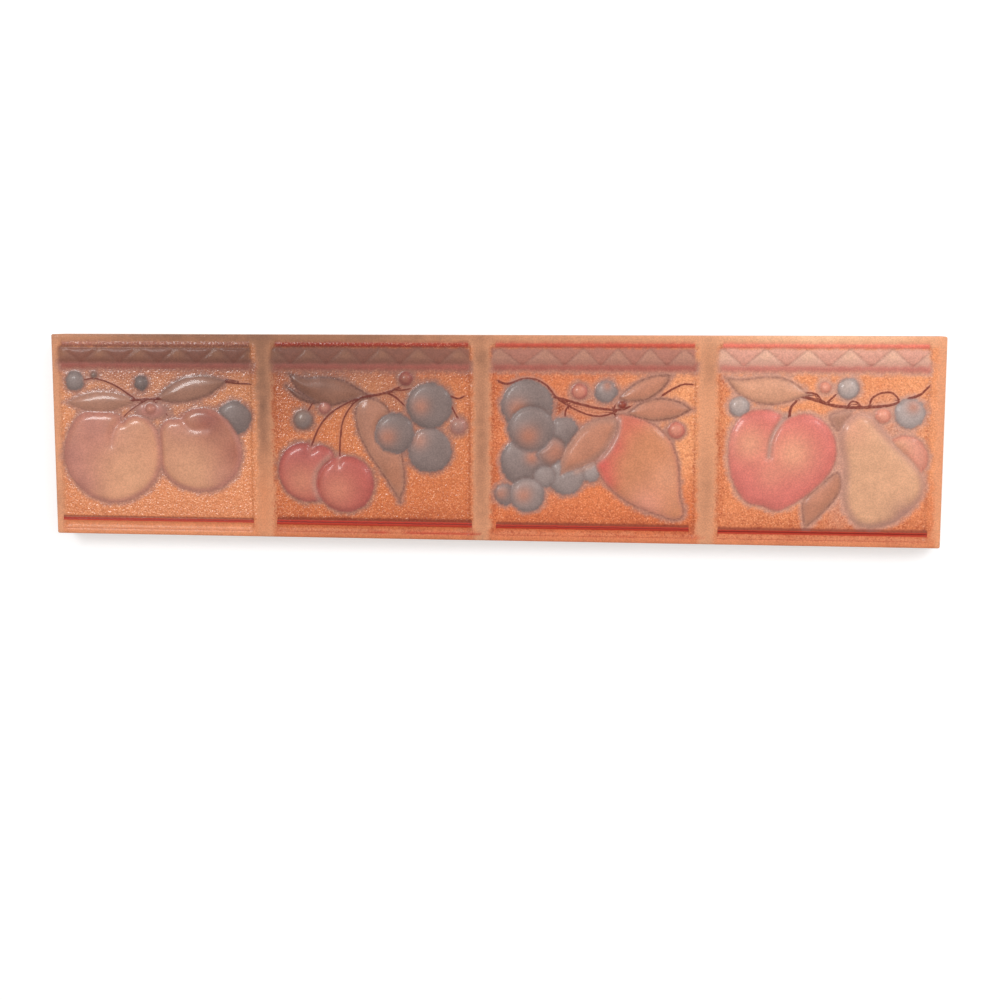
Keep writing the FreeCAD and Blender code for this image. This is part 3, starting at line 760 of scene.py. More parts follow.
def grapes_and_lemon(canvas):
    """Third panel: a bunch of grapes and a lemon."""
    canvas.stem([(3.2, 35.8), (5.2, 35.3), (9.6, 36.5), (13.4, 35.3), (15.8, 32.4)], 0.55, 0.45)
    canvas.stem([(15.6, 32.4), (18, 31.8), (22, 30.7), (26, 29.9), (30, 29.7), (32.2, 30.4)], 0.65, 0.45)
    canvas.stem([(16.6, 31.8), (20, 29.8), (23.4, 28.5), (26.2, 28.3), (29.2, 29.2)], 0.45, 0.35)
    canvas.stem([(18.6, 30.4), (18, 29.2), (18, 28)], 0.4)
    canvas.stem([(29, 30.6), (28.6, 29.6), (29, 28.6)], 0.4)
    canvas.stem([(39.4, 33), (42, 34.6), (44, 35.4), (45.8, 35.4)], 0.5, 0.35)
    canvas.daub(16.4, 30.2, 1.8, 2, STEM, 0.7, canvas.ground)
    berry(canvas, 30.6, 30.8, 1, STEM * 1.4, STEM, BUD_RISE)
    berry(canvas, 21.1, 33.7, 1.8, PINK_BERRY, CHERRY_RIM)
    grape(canvas, 27, 33.7, 2.5, BERRY_RISE, spot=(27.2, 35, 1), body=DUSKY_BLUE)
    leaf(canvas, Leaf((30, 32.2), (41, 37.3), 1.6, 2.6), LEAF_WARM, LEAF_BROWN)
    grape(canvas, 9.5, 30.5, 5.8, spot=(7.4, 30, 2.2))
    grape(canvas, 9.2, 17.9, 5.6, spot=(10.6, 19, 1.5))
    grape(canvas, 17.6, 24.4, 3.7)
    grape(canvas, 15, 20.2, 3.4, spot=(15.4, 20.4, 2.8))
    grape(canvas, 23.6, 15.8, 2.3, body=(PALE_BLUE + BLUE_GREY) / 2)
    grape(canvas, 18.2, 14.6, 4, body=DUSKY_BLUE)
    grape(canvas, 10.4, 25.3, 5.2, FRONT_GRAPE_RISE, spot=(9.8, 23.9, 2.3))
    grape(canvas, 13.4, 14.7, 2.4, BUD_RISE, body=DUSKY_BLUE)
    grape(canvas, 4.6, 10.6, 2.4, BUD_RISE, spot=(3.6, 11, 1.4))
    grape(canvas, 9.5, 10.5, 3.85, FRONT_GRAPE_RISE, spot=(8.7, 10.7, 1.9), body=DUSKY_BLUE)
    lemon = Blob(
        (29.2, 28.2), (31.8, 28.6), (35.2, 27.7), (38.8, 25.6), (41.6, 22.4), (43, 18), (43.4, 13.5),
        (43.5, 10.5), (44.3, 8), (44, 6), (42, 5.4), (39, 6.4), (35, 7.7), (31, 9.8), (28, 12.3),
        (25.7, 15.4), (24.9, 18.4), (26.4, 23.5),
    )
    patches = [
        (41, 15, 4, PEACH_GOLD, 0.6), (36, 8, 4.5, PALE_BERRY, 0.75),
        (30.4, 26.4, 3.2, LEMON_BLUSH, 0.55), (28.6, 22, 2.8, LEMON_BLUSH, 0.9),
        (26.2, 17.6, 3, LEMON_BLUSH, 1), (26.8, 13.6, 2.8, LEMON_BLUSH, 0.9),
        (34, 28.4, 3, LEMON_BLUSH, 0.6),
    ]
    canvas.mould(lemon, FRUIT_RISE, Skin(LEMON, ROSE, 1.1, 0.5, patches), ink=0.5, gloss=SATIN)
    leaf(canvas, Leaf((31.9, 28.9), (45.5, 29.9), 2.8, 1.9), LEAF_WARM, LEAF_BROWN)
    front = Blob(
        (29, 27.9), (29, 27.9), (25.2, 27.6), (21.6, 25.7), (18.6, 22), (17.1, 18.6), (17.2, 15.3),
        (17.2, 15.3), (20.4, 16.4), (23.8, 17.9), (27, 20.5), (29, 24), (29.6, 26.4),
    )
    seam = [(29.9, 27.4), (29.4, 24), (27.5, 20.4), (24.2, 17.6), (20.6, 15.9)]
    canvas.crease(seam, 0.7, 0, GREY_RIM, 0.8, fade=0)
    leaf(canvas, front, LEAF_WARM, 0.85 * GREY_RIM, 1.9, ink=0.3, rise=FRONT_LEAF_RISE, gloss=DULL)
    berry(canvas, 42.5, 25.3, 1.85, PINK_BERRY, CHERRY)


def peach_and_pear(canvas):
    """Fourth panel: a peach and a pear below a vine."""
    canvas.daub(25, 2, 26, 1.2, RUST, 0.9, canvas.ground)
    vine = [(19.6, 32.9), (22.5, 32.2), (26, 31.1), (30, 30.6), (34, 30.7), (38, 31.1), (40.2, 31.8)]
    canvas.stem(vine, 0.75, 0.6)
    canvas.stem([(34, 30.9), (34.6, 32.7), (36.6, 33.8), (38.8, 33.8), (40.2, 32.4)], 0.45, 0.4)
    canvas.stem([(42.4, 32.6), (44.7, 33.5), (46.5, 35.3)], 0.65, 0.4)
    canvas.stem([(20.6, 33.7), (22.5, 33.5), (23.8, 32.1)], 0.5, 0.35)
    canvas.stem([(25, 31.6), (26.7, 33.3)], 0.4)
    canvas.stem([(29.5, 30.9), (30.2, 31.9), (31.4, 31.7), (32.2, 30.8)], 0.4)
    canvas.stem([(18.4, 31.9), (17.3, 30.5), (17, 28.6)], 0.5, 0.7)
    small = Blob((25.6, 28.6), (28, 29.8), (30.2, 29.9), (29.2, 27.6), (27.4, 25.6))
    leaf(canvas, small, LEAF_BROWN, canvas.halo, ink=0.4, rise=BUD_RISE)
    glow = [(40.6, 22.4, 2.6, PALE_APRICOT, 0.6)]
    skin = Skin(0.92 * PALE_BERRY, PINK_BERRY, 1.2, 0.7, glow)
    canvas.mould(Oval(41.9, 19.7, 4.9), GRAPE_RISE, skin, gloss=SATIN)
    lower = Blob(
        (27.6, 16.4), (28.4, 12.8), (26, 9), (23.2, 6), (21, 4.2), (21, 4.2), (20.4, 7), (20.6, 10.2),
        (24, 13.4),
    )
    leaf(canvas, lower, LEAF_WARM, LEAF_BROWN, ink=0.5)
    berry(canvas, 6.2, 30.6, 2.3, PALE_BLUE, BLUE_GREY)
    peach = Blob(
        (16, 28.2), (14, 29.5), (11, 30.1), (7.6, 29.2), (5.2, 26.7), (4.1, 23), (4, 19), (4.7, 15),
        (6.2, 11.6), (8.6, 9.3), (11.6, 8.7), (14.2, 7.7), (16.6, 8.3), (19.6, 10.2), (22.6, 12.5),
        (25.5, 15.6), (27.1, 19), (27.2, 22.4), (26, 25.7), (23.5, 28.2), (20.5, 29.2), (18, 28.7),
    )
    patches = [
        (8.5, 22.5, 4, PEACH_GOLD, 0.8), (18, 20.5, 4.6, PEACH_GOLD, 0.85), (13, 15.5, 3, PEACH_GOLD, 0.35),
    ]
    canvas.mould(peach, FRUIT_RISE, Skin(PEACH_RED, ROSE, 0.8, 0.4, patches), ink=0.25, gloss=SATIN)
    canvas.crease([(16.4, 28.8), (14.3, 26), (13.1, 23.2), (12.7, 19.7)], 0.7, 0.8, PALE_HALO, 1, fade=0.1)
    pear = Blob(
        (29.4, 27.8), (32, 29.2), (34.5, 28.4), (36.6, 26), (39.5, 23), (42.6, 20.1), (45.2, 17),
        (46.2, 14), (45.5, 11), (43, 7.9), (39.5, 5.3), (35.2, 4.3), (32, 5), (30, 7.5), (29, 11),
        (29.1, 15), (28.9, 19), (28.1, 23), (28.2, 26),
    )
    patches = [
        (42.4, 7.2, 3, PEAR_SHADE, 0.9), (38, 4, 2.2, PEAR_SHADE, 0.5), (30, 26, 4, PALE_BERRY, 0.4),
    ]
    canvas.mould(pear, FRONT_FRUIT_RISE, Skin(PEAR, PEAR_RIM, 1.8, 0.7, patches), ink=0.12, gloss=SATIN)
    upper = Blob(
        (3, 37), (3, 37), (6, 36.5), (10, 36.9), (14, 37.1), (17, 36.2), (19.5, 34.7), (20.8, 33.3),
        (20.8, 33.3), (19, 32.6), (15.5, 31.5), (11.5, 31.2), (8, 32.3), (5.4, 34), (4, 35.8),
    )
    leaf(canvas, upper, LEAF_PALE, LEAF_BROWN, ink=0.5)
    berry(canvas, 24.5, 34.9, 1.25, PALE_BERRY, PINK_BERRY)
    berry(canvas, 29.5, 34.7, 2.35, PALE_BLUE, BLUE_GREY)
    berry(canvas, 37, 28.9, 1.65, PALE_BERRY, PINK_BERRY)
    grape(canvas, 42.7, 29.4, 3.3, BERRY_RISE, spot=(43.2, 30.9, 1.5), body=PALE_BLUE)


PANELS = (peaches, cherries, grapes_and_lemon, peach_and_pear)

# Marks of the frame, as x, y, half width, half height, colour and strength; the first gutter's grime is also
# painted shade
FRAME_STAINS_AND_PAINTED_LIGHT = (
    (49.3, 28, 2.2, 24, GRIME_AND_SHADE, 1), (99.3, 41, 1.6, 2.4, GRIME_AND_SHADE, 0.9),
    (99.3, 22, 2, 26, GRIME_AND_SHADE, 0.8), (149.6, 40, 2.2, 6, GRIME_AND_SHADE, 0.6),
    (149.3, 11, 2, 12, GRIME_AND_SHADE, 0.5), (0.8, 8, 1.2, 4, GRIME_AND_SHADE, 0.3),
    # Painted shadow along the top frame over the first three panels, and a painted highlight on it over the
    # last
    (30, 46, 26, 1.6, GRIME_AND_SHADE, 0.9), (76, 46, 24, 1.6, GRIME_AND_SHADE, 0.75),
    (125, 46, 20, 1.6, GRIME_AND_SHADE, 0.25), (176, 46, 20, 2.8, PAINTED_HIGHLIGHT_CREAM, 0.65),
    (49.3, 8, 2.4, 10, GROUNDS[0], 0.7), (199, 20, 1.4, 26, GROUNDS[3], 0.4),
)

# A painted shadow that darkens the tile's top left
SHADOW_X, SHADOW_Y = 48, 47
SHADOW_WIDE, SHADOW_TALL = 52, 20
SHADOW_STRENGTH = 0.42

# Where the halo's colour is washed over each panel's ground, as x, y, half width, half height and strength
WASHES_AND_SHADE = (
    # In the first two panels some are also painted shade: below the strip, and over the ground above the
    # peaches
    ((24, 31, 14, 5, 0.5), (12, 37, 12, 3, 0.5)),
    ((14, 36.5, 12, 3, 0.6), (30, 32, 6, 4, 0.5)),
    ((24, 31, 8, 4, 0.5), (13, 15, 5, 5, 0.6)),
    ((28, 17, 3, 12, 0.9), (38, 30, 7, 3, 0.6), (40.5, 25.8, 4, 2.4, 0.8)),
)


def draw_face(x, y):
    """The whole face: ground, mouldings and fruit."""
    canvas = Canvas(x, y)
    for number, fruit in enumerate(PANELS):
        canvas.field(number)
        # The halo's colour over the ground, in places also painted shade
        for *place, strength in WASHES_AND_SHADE[number]:
            canvas.daub(*place, canvas.halo, strength, canvas.ground)
        foot_line(canvas, number)
        ribbon_band(canvas, number)
        fruit(canvas)
    canvas.open_panel(0)
    bare = (1 - canvas.gloss) * (1 - canvas.ground) * (0.6 + 0.4 * mottle(x, y, 1.5, seed=41))
    # Grime, painted shadow and a painted highlight on the bare frame
    for daub in FRAME_STAINS_AND_PAINTED_LIGHT:
        canvas.daub(*daub, bare)
    # Painted shadow over the tile's top left, kept in the tone layer
    painted_shadow = np.exp(-((x - SHADOW_X) / SHADOW_WIDE) ** 2 - ((y - SHADOW_Y) / SHADOW_TALL) ** 2)
    canvas.tone -= SHADOW_STRENGTH * painted_shadow
    grain = mottle(x, y, 0.7, seed=21) + mottle(x, y, 0.45, seed=22) - 1
    canvas.height += GRAIN_RISE * canvas.ground * grain
    return canvas


# The mesh

def edge_lines():
    """Places across a rounded edge, from the outside in."""
    return EDGE_RADIUS * (1 - np.cos(np.linspace(0, math.pi / 2, EDGE_CELLS + 1)))


def column_lines():
    """X of the face's columns: fine on the fields, coarse on the frame."""
    lines = [edge_lines()]
    for panel in range(PANEL_COUNT):
        left = panel * PANEL_PITCH + LEFT_FRAME
        right = left + FIELD_LENGTH
        lines.append(np.linspace(left, right, FIELD_COLUMNS + 1))
        if panel < PANEL_COUNT - 1:
            lines.append(np.linspace(right, right + GUTTER, GUTTER_COLUMNS + 1)[1:-1])
    lines.append(np.linspace(right, TILE_LENGTH - EDGE_RADIUS, GUTTER_COLUMNS)[1:-1])
    lines.append(TILE_LENGTH - edge_lines()[::-1])
    return np.concatenate(lines)


def row_lines():
    """Y of the face's rows."""
    foot_low, foot_high = FOOT_MIDDLE - FOOT_HALF, FOOT_MIDDLE + FOOT_HALF
    strip = np.linspace(BOTTOM_FRAME, foot_low, STRIP_ROWS + 1)[:-1]
    foot = np.linspace(foot_low, foot_high, FOOT_ROWS + 1)[:-1]
    field = np.linspace(foot_high, BOTTOM_FRAME + FIELD_HEIGHT, FIELD_ROWS + 1)
    top = np.linspace(field[-1], TILE_WIDTH - EDGE_RADIUS, FRAME_ROWS + 1)[1:-1]
    return np.concatenate([edge_lines(), strip, foot, field, top, TILE_WIDTH - edge_lines()[::-1]])


def rounded(x, y):
    """Points of the face with its four corners drawn in to arcs, and how far inside the edge they lie."""
    across = np.maximum(abs(x - TILE_LENGTH / 2) - TILE_LENGTH / 2 + EDGE_RADIUS, 0) / EDGE_RADIUS
    up = np.maximum(abs(y - TILE_WIDTH / 2) - TILE_WIDTH / 2 + EDGE_RADIUS, 0) / EDGE_RADIUS
    new_across = across * np.sqrt(1 - up ** 2 / 2)
    new_up = up * np.sqrt(1 - across ** 2 / 2)
    x = x + np.sign(x - TILE_LENGTH / 2) * (new_across - across) * EDGE_RADIUS
    y = y + np.sign(y - TILE_WIDTH / 2) * (new_up - up) * EDGE_RADIUS
    return x, y, EDGE_RADIUS * (1 - np.hypot(new_across, new_up))


def edge_drop(inside):
    """How far the rounded edge lies below the face."""
    return EDGE_RADIUS - np.sqrt(np.maximum(EDGE_RADIUS ** 2 - (EDGE_RADIUS - inside) ** 2, 0))


def back_faces(ring):
    """Triangles of the back inside a ring of places, with the places and heights of the grooves' corners."""
    corners, heights, edges = [], [], []
    spacing = TILE_WIDTH / KEY_COUNT
    for key in range(KEY_COUNT):
        middle = (key + 0.5) * spacing
        for inset, height in ((0, 0), (KEY_DRAFT, KEY_DEPTH)):
            left, right = KEY_END_MARGIN + inset, TILE_LENGTH - KEY_END_MARGIN - inset
            low, high = middle - KEY_WIDTH / 2 + inset, middle + KEY_WIDTH / 2 - inset
            first = len(ring) + len(corners)
            corners += [(left, low), (right, low), (right, high), (left, high)]
            heights += [height] * 4
            edges += [(first + n, first + (n + 1) % 4) for n in range(4)]
    points = [Vector(p) for p in list(map(tuple, ring)) + corners]
    outline = [list(range(len(ring)))]
    _, _, triangles, origins, _, _ = geometry.delaunay_2d_cdt(points, edges, outline, 1, 1e-7)
    triangles = [[origins[corner][0] for corner in triangle] for triangle in triangles]
    return triangles, corners, heights


def build_tile():
    """The tile as one closed mesh with its paint stored on its vertices."""
    columns, rows = column_lines(), row_lines()
    across, down = len(columns), len(rows)
    x, y = [part.ravel() for part in np.meshgrid(columns, rows)]
    x, y, inside = rounded(x, y)
    canvas = draw_face(x, y)
    z = FIELD_Z + canvas.height - edge_drop(np.minimum(inside, EDGE_RADIUS))
    face_points = np.stack([x, y, z], 1)
    index = np.arange(across * down).reshape(down, across)
    quads = np.stack([index[:-1, :-1], index[:-1, 1:], index[1:, 1:], index[1:, :-1]], -1).reshape(-1, 4)
    ring = np.concatenate([index[0, :-1], index[:-1, -1], index[-1, :0:-1], index[:0:-1, 0]])

    points, faces = [face_points], [quads.tolist()]
    upper, count = ring, len(face_points)
    for level in SIDE_LEVELS:
        lower = np.arange(count, count + len(ring))
        place = face_points[ring].copy()
        place[:, 2] = level * FIELD_Z
        points.append(place)
        faces.append(np.stack([upper, lower, np.roll(lower, -1), np.roll(upper, -1)], 1).tolist())
        upper, count = lower, count + len(ring)
    triangles, corners, heights = back_faces(face_points[ring][:, :2])
    names = list(upper) + list(range(count, count + len(corners)))
    faces.append([[names[n] for n in reversed(triangle)] for triangle in triangles])
    points.append(np.column_stack([corners, heights]))

    points = np.concatenate(points)
    points[:, 0] -= TILE_LENGTH / 2
    points[:, 1] -= TILE_WIDTH / 2
    mesh = bpy.data.meshes.new("border_tile_relief")
    mesh.from_pydata((points * MM).tolist(), [], sum(faces, []))
    mesh.validate()
    mesh.polygons.foreach_set("use_smooth", np.ones(len(mesh.polygons), bool))
    mesh.set_sharp_from_angle(angle=math.radians(SHARP_DEGREES))
    store_paint(mesh, canvas, len(points))
    counts = [len(part) for part in faces]
    bake_layout(mesh, counts)
    tile = bpy.data.objects.new("relief_border_tile", mesh)
    bpy.context.scene.collection.objects.link(tile)
    return tile, counts


def store_paint(mesh, canvas, count):
    """Keeps the drawing on the mesh; the sides and the back count as plain frame."""
    spare = count - len(canvas.x)
    colours = np.concatenate([canvas.paint, np.tile(CREAM, (spare, 1))])
    colours = np.column_stack([colours, np.ones(count)])
    mesh.attributes.new("paint", "FLOAT_COLOR", "POINT").data.foreach_set("color", colours.ravel())
    for name, value in LAYERS.items():
        values = np.concatenate([getattr(canvas, name), np.full(spare, value)])
        mesh.attributes.new(name, "FLOAT", "POINT").data.foreach_set("value", values)


# The layout of the baked picture: the panels two by two, then the back and the four sides along the foot.
# Values are shares of the picture's width, the first two to a millimetre, and SIDE_STEP is in millimetres
BAKE_PANEL = 0.0096
BAKE_REST = 0.0021
BAKE_MARGIN = 0.01
BAKE_FOOT = 0.11
BAKE_COLUMN = 0.5
BAKE_GAP = 0.003
BAKE_SIDES = 0.46
SIDE_STEP = 12


def bake_layout(mesh, counts):
    """A place in the baked picture for every corner of every face."""
    corner_count = len(mesh.loops)
    vertex = np.empty(corner_count, int)
    mesh.loops.foreach_get("vertex_index", vertex)
    starts, sizes = np.empty(len(mesh.polygons), int), np.empty(len(mesh.polygons), int)
    mesh.polygons.foreach_get("loop_start", starts)
    mesh.polygons.foreach_get("loop_total", sizes)
    face = np.repeat(np.arange(len(sizes)), sizes)
    points = np.empty(len(mesh.vertices) * 3)
    mesh.vertices.foreach_get("co", points)
    points = points.reshape(-1, 3)[vertex] / MM + (TILE_LENGTH / 2, TILE_WIDTH / 2, 0)
    centres = np.add.reduceat(points, starts) / sizes[:, None]
    centre = centres[face]
    x, y, z = points.T

    panel = np.clip(centre[:, 0] // PANEL_PITCH, 0, PANEL_COUNT - 1)
    u = BAKE_MARGIN + BAKE_COLUMN * (panel % 2) + (x - panel * PANEL_PITCH) * BAKE_PANEL
    v = BAKE_FOOT + (panel // 2) * (TILE_WIDTH * BAKE_PANEL + BAKE_GAP) + y * BAKE_PANEL
    side = (face >= counts[0]) & (face < len(sizes) - counts[-1])
    back = face >= len(sizes) - counts[-1]
    u = np.where(back, BAKE_MARGIN + x * BAKE_REST, u)
    v = np.where(back, BAKE_MARGIN / 2 + y * BAKE_REST, v)
    end = side & (np.minimum(centre[:, 0], TILE_LENGTH - centre[:, 0]) < EDGE_RADIUS / 4)
    along = np.where(end, y, x)
    second = np.where(end, centre[:, 0] > TILE_LENGTH / 2, centre[:, 1] > TILE_WIDTH / 2)
    u = np.where(side, BAKE_SIDES + along * BAKE_REST, u)
    v = np.where(side, BAKE_MARGIN + (2 * end + second) * SIDE_STEP * BAKE_REST + z * BAKE_REST, v)
    layer = mesh.uv_layers.new(name="OFBake")
    layer.data.foreach_set("uv", np.column_stack([u, v]).ravel())


# Materials, with the sizes of their grains and bumps in metres
FINE_GRAIN = 0.00032
OTHER_GRAIN = 0.00045
MIDDLE_GRAIN = 0.0009
BROAD_GRAIN = 0.0016
STIPPLE = 0.00042
GLAZE_BUMP = 0.00012
CLAY_GRAIN = 0.0004
CLAY_CLOUD = 0.009
CLAY_BUMP = 0.0002


class Graph:
    """A short way to write a material's nodes."""

    def __init__(self, material):
        material.use_nodes = True
        self.nodes, self.links = material.node_tree.nodes, material.node_tree.links
        self.nodes.clear()

    def add(self, kind, settings=None, numbered=None, **named):
        """A node with its settings, and its inputs by their numbers or names."""
        node = self.nodes.new(kind)
        for name, value in (settings or {}).items():
            setattr(node, name, value)
        for number, value in (numbered or {}).items():
            self.feed(node.inputs[number], value)
        for name, value in named.items():
            self.feed(node.inputs[name.replace("_", " ")], value)
        return node

    def feed(self, socket, value):
        if isinstance(value, bpy.types.NodeSocket):
            self.links.new(value, socket)
        else:
            socket.default_value = value

    def math(self, operation, first, second=0.0):
        return self.add("ShaderNodeMath", {"operation": operation}, {0: first, 1: second}).outputs[0]

    def times(self, first, second):
        return self.math("MULTIPLY", first, second)

    def off(self, value, middle):
        """How far a value lies from a middle, on either side."""
        return self.math("ABSOLUTE", self.math("SUBTRACT", value, middle))

    def ramp(self, value, start, end, low=0.0, high=1.0):
        inputs = dict(enumerate((value, start, end, low, high)))
        return self.add("ShaderNodeMapRange", {"interpolation_type": "SMOOTHSTEP"}, inputs).outputs[0]

    def mix(self, share, first, second, blend="MIX"):
        settings = {"data_type": "RGBA", "blend_type": blend}
        return self.add("ShaderNodeMix", settings, {0: share, 6: first, 7: second}).outputs[2]

    def layer(self, name, output="Fac"):
        return self.add("ShaderNodeAttribute", {"attribute_name": name}).outputs[output]

    def shifted(self, place, distance):
        """Places moved aside by a distance in metres, for a second noise unlike the first."""
        return self.add("ShaderNodeVectorMath", None, {0: place, 1: (distance,) * 3}).outputs[0]

    def noise(self, place, size, detail=2.0):
        """Noise whose grains are about the given size in metres."""
        return self.add("ShaderNodeTexNoise", Vector=place, Scale=1 / size, Detail=detail).outputs["Fac"]

    def bump(self, height, strength, rise, **below):
        """A bump of the surface, on top of the one below it if that is given."""
        return self.add("ShaderNodeBump", Strength=strength, Distance=rise, Height=height, **below).outputs[0]


def colour4(colour):
    return (*[float(part) for part in colour], 1.0)


def painted_glaze():
    """Hand-coloured satin glaze: paint, outlines, stems and painted shadow from the mesh, grain and painted
    glints from noise.
    """
    material = bpy.data.materials.new("painted_glaze")
    graph = Graph(material)
    place = graph.add("ShaderNodeTexCoord").outputs["Object"]
    ground, rust = graph.layer("ground"), graph.layer("rust")
    fine = graph.noise(place, FINE_GRAIN)
    other = graph.noise(graph.shifted(place, 0.031), OTHER_GRAIN)
    middle = graph.noise(graph.shifted(place, 0.017), MIDDLE_GRAIN)
    broad = graph.noise(place, BROAD_GRAIN)

    shade = graph.ramp(fine, 0.3, 0.7, 0.82, 1.18)
    shade = graph.times(shade, graph.ramp(middle, 0.3, 0.7, 0.94, 1.06))
    mottling = graph.ramp(ground, 0.0, 1.0, 0.6, 0.8)
    colour = graph.mix(mottling, graph.layer("paint", "Color"), shade, "MULTIPLY")
    # Painted glints: light specks on the stippled ground
    gleam = graph.times(graph.ramp(fine, 0.55, 0.72), graph.times(ground, 0.32))
    colour = graph.mix(gleam, colour, colour4(PAINTED_GLINT))
    speck = graph.times(graph.ramp(other, 0.52, 0.66), graph.times(rust, 0.85))
    colour = graph.mix(speck, colour, colour4(RUST))

    waver = graph.times(graph.math("SUBTRACT", middle, 0.5), 0.5)
    line = graph.math("ABSOLUTE", graph.math("ADD", graph.layer("line"), waver))
    grit = graph.ramp(other, 0.35, 0.6, 0.4, 0.9)
    outline = graph.times(graph.ramp(line, 0.45, 0.05), graph.times(graph.layer("ink"), grit))
    colour = graph.mix(outline, colour, colour4(INK))
    stem = graph.math("ABSOLUTE", graph.math("ADD", graph.layer("stem_line"), graph.times(waver, 2.0)))
    broken = graph.times(graph.layer("stem_ink"), graph.ramp(other, 0.35, 0.55, 0.8, 1.0))
    stem = graph.times(graph.ramp(stem, 1.3, 0.7, 0.0, 0.9), broken)
    colour = graph.mix(stem, colour, colour4(STEM))
    foot = graph.math("ADD", graph.layer("foot_line"), graph.times(waver, 0.5))
    # Dark red over the foot line's upper side: its darker upper line, and painted shade above it
    colour = graph.mix(graph.ramp(graph.off(foot, 0.55), 0.75, 0.1, 0.0, 0.7), colour, colour4(RED))
    colour = graph.mix(graph.ramp(graph.off(foot, -0.12), 0.55, 0.35, 0.0, 0.9), colour, colour4(BRIGHT_RED))
    colour = graph.mix(graph.ramp(graph.off(foot, 0.0), 0.16, 0.04, 0.0, 0.85), colour, colour4(RED))
    # The tone layer darkens the colour with the painted shadow
    colour = graph.mix(1.0, colour, graph.layer("tone"), "MULTIPLY")

    cells = graph.add("ShaderNodeTexVoronoi", {"feature": "SMOOTH_F1"}, Vector=place, Scale=1 / STIPPLE)
    drops = graph.times(graph.math("SUBTRACT", 1.0, cells.outputs["Distance"]), ground)
    grain = graph.bump(drops, 0.7, GLAZE_BUMP)
    ripple = graph.bump(broad, 0.3, GLAZE_BUMP, Normal=grain)
    gloss = graph.layer("gloss")
    satin = graph.ramp(gloss, 0.0, 0.5, 0.60, 0.40)
    shader = graph.add(
        "ShaderNodeBsdfPrincipled", Base_Color=colour, Normal=ripple, IOR=1.5,
        Roughness=graph.ramp(ground, 0.0, 1.0, satin, 0.28), Coat_Roughness=0.11,
        Coat_Weight=graph.ramp(gloss, 0.0, 1.0, 0.12, 0.5), Coat_Normal=ripple,
    )
    graph.add("ShaderNodeOutputMaterial", Surface=shader.outputs[0])
    return material


def fired_clay():
    """The bare fired body of the sides and the back."""
    material = bpy.data.materials.new("fired_clay")
    graph = Graph(material)
    place = graph.add("ShaderNodeTexCoord").outputs["Object"]
    fine = graph.noise(place, CLAY_GRAIN, 4.0)
    broad = graph.noise(place, CLAY_CLOUD)
    colour = graph.mix(graph.ramp(broad, 0.3, 0.7), colour4(BISQUE), colour4(DARK_BISQUE))
    colour = graph.mix(graph.ramp(fine, 0.60, 0.72, 0.0, 0.5), colour, colour4(CLAY_SPECK))
    bump = graph.bump(fine, 0.5, CLAY_BUMP)
    shader = graph.add("ShaderNodeBsdfPrincipled", Base_Color=colour, Normal=bump, Roughness=0.85)
    graph.add("ShaderNodeOutputMaterial", Surface=shader.outputs[0])
    return material


def dress(tile, counts):
    """Glaze on the face and the upper half of the sides, bare clay below and behind."""
    tile.data.materials.append(painted_glaze())
    tile.data.materials.append(fired_clay())
    glazed = counts[0] + counts[1]
    slots = np.concatenate([np.zeros(glazed, int), np.ones(sum(counts) - glazed, int)])
    tile.data.polygons.foreach_set("material_index", slots)


# Surroundings, in metres
FLOOR_HALF = 3.0
FLOOR_GAP = 0.0002


def floor():
    """A white floor that keeps the tile's shadow."""
    half = FLOOR_HALF
    mesh = bpy.data.meshes.new("floor")
    corners = [(-half, -half, 0), (half, -half, 0), (half, half, 0), (-half, half, 0)]
    mesh.from_pydata(corners, [], [(0, 1, 2, 3)])
    plane = bpy.data.objects.new("floor", mesh)
    plane.location.z = tile_low.z - FLOOR_GAP
    bpy.context.scene.collection.objects.link(plane)
    material = bpy.data.materials.new("white_floor")
    graph = Graph(material)
    path = graph.add("ShaderNodeLightPath")
    seen = graph.math("MAXIMUM", path.outputs["Is Camera Ray"], path.outputs["Is Glossy Ray"])
    matt = graph.add("ShaderNodeBsdfDiffuse", Color=(0.8, 0.8, 0.8, 1.0))
    glow = graph.add("ShaderNodeEmission", Strength=graph.math("MULTIPLY", seen, 0.35))
    both = graph.add("ShaderNodeAddShader", None, {0: matt.outputs[0], 1: glow.outputs[0]})
    graph.add("ShaderNodeOutputMaterial", Surface=both.outputs[0])
    mesh.materials.append(material)


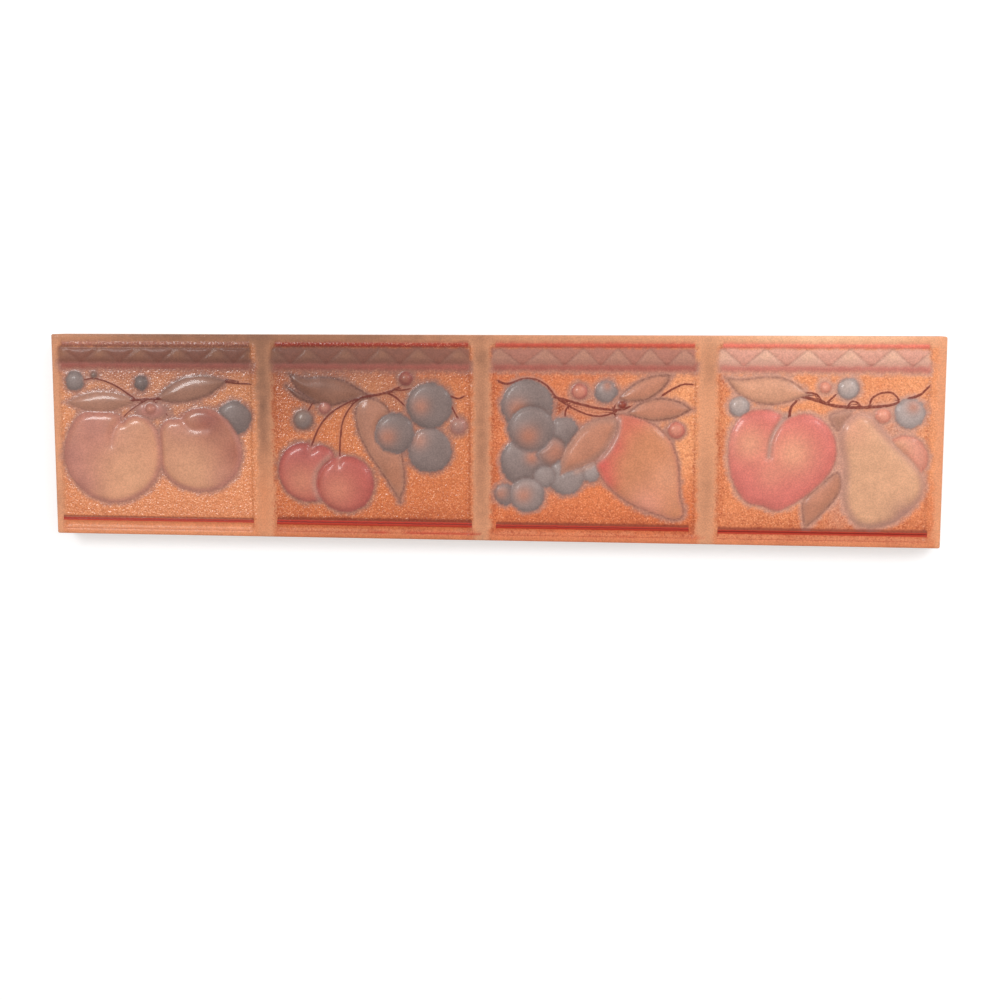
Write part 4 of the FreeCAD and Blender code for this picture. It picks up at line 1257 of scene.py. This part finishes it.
def sky():
    """Even white light from all round."""
    world = bpy.data.worlds.new("studio")
    bpy.context.scene.world = world
    graph = Graph(world)
    path = graph.add("ShaderNodeLightPath")
    seen = path.outputs["Is Camera Ray"]
    diffuse = graph.ramp(path.outputs["Is Glossy Ray"], 0.0, 1.0, 0.70, 0.42)
    strength = graph.math("MAXIMUM", seen, diffuse)
    back = graph.add("ShaderNodeBackground", Strength=strength)
    graph.add("ShaderNodeOutputWorld", Surface=back.outputs[0])


def lamp(name, place, wide, tall, power, aim=(0, 0, 0), shines=True):
    """A flat lamp; one that doesn't shine is not mirrored in the glaze."""
    data = bpy.data.lights.new(name, "AREA")
    data.shape = "RECTANGLE"
    data.size, data.size_y = wide, tall
    data.energy = power
    light = bpy.data.objects.new(name, data)
    light.location = place
    light.rotation_euler = (Vector(aim) - Vector(place)).to_track_quat("-Z", "Y").to_euler()
    light.visible_glossy = shines
    bpy.context.scene.collection.objects.link(light)


# The camera stands above the tile's upper right, in metres from the middle of the tile's back
CAMERA_PLACE = Vector((0.04015, 0.02746, 0.33882))
CAMERA_AIM = Vector((0.00344, -0.01377, 0.00660))
CAMERA_UP = Vector((-0.00129, 1.0, 0.0))
FOCAL_SHARE = 1.5


def camera():
    """The photograph's view."""
    data = bpy.data.cameras.new("camera")
    data.sensor_fit = "HORIZONTAL"
    data.sensor_width = 36.0
    data.lens = FOCAL_SHARE * data.sensor_width
    data.clip_start = 0.01
    view = bpy.data.objects.new("camera", data)
    back = (CAMERA_PLACE - CAMERA_AIM).normalized()
    right = CAMERA_UP.cross(back).normalized()
    up = back.cross(right)
    view.matrix_world = Matrix.Translation(CAMERA_PLACE) @ Matrix((right, up, back)).transposed().to_4x4()
    bpy.context.scene.collection.objects.link(view)
    bpy.context.scene.camera = view


tile, face_counts = build_tile()
dress(tile, face_counts)
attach(tile, "root")
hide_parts("border_tile")

floor()
sky()
lamp("left_window", (-0.262, 0.17, 0.42), 0.18, 0.09, 0.72)
lamp("right_lamp", (0.21, 0.15, 0.28), 0.30, 0.30, 0.6, aim=(0.09, 0.01, 0), shines=False)
lamp("right_spark", (0.30, 0.26, 0.36), 0.08, 0.08, 0.15)
camera()
bpy.context.scene.view_settings.view_transform = "Standard"
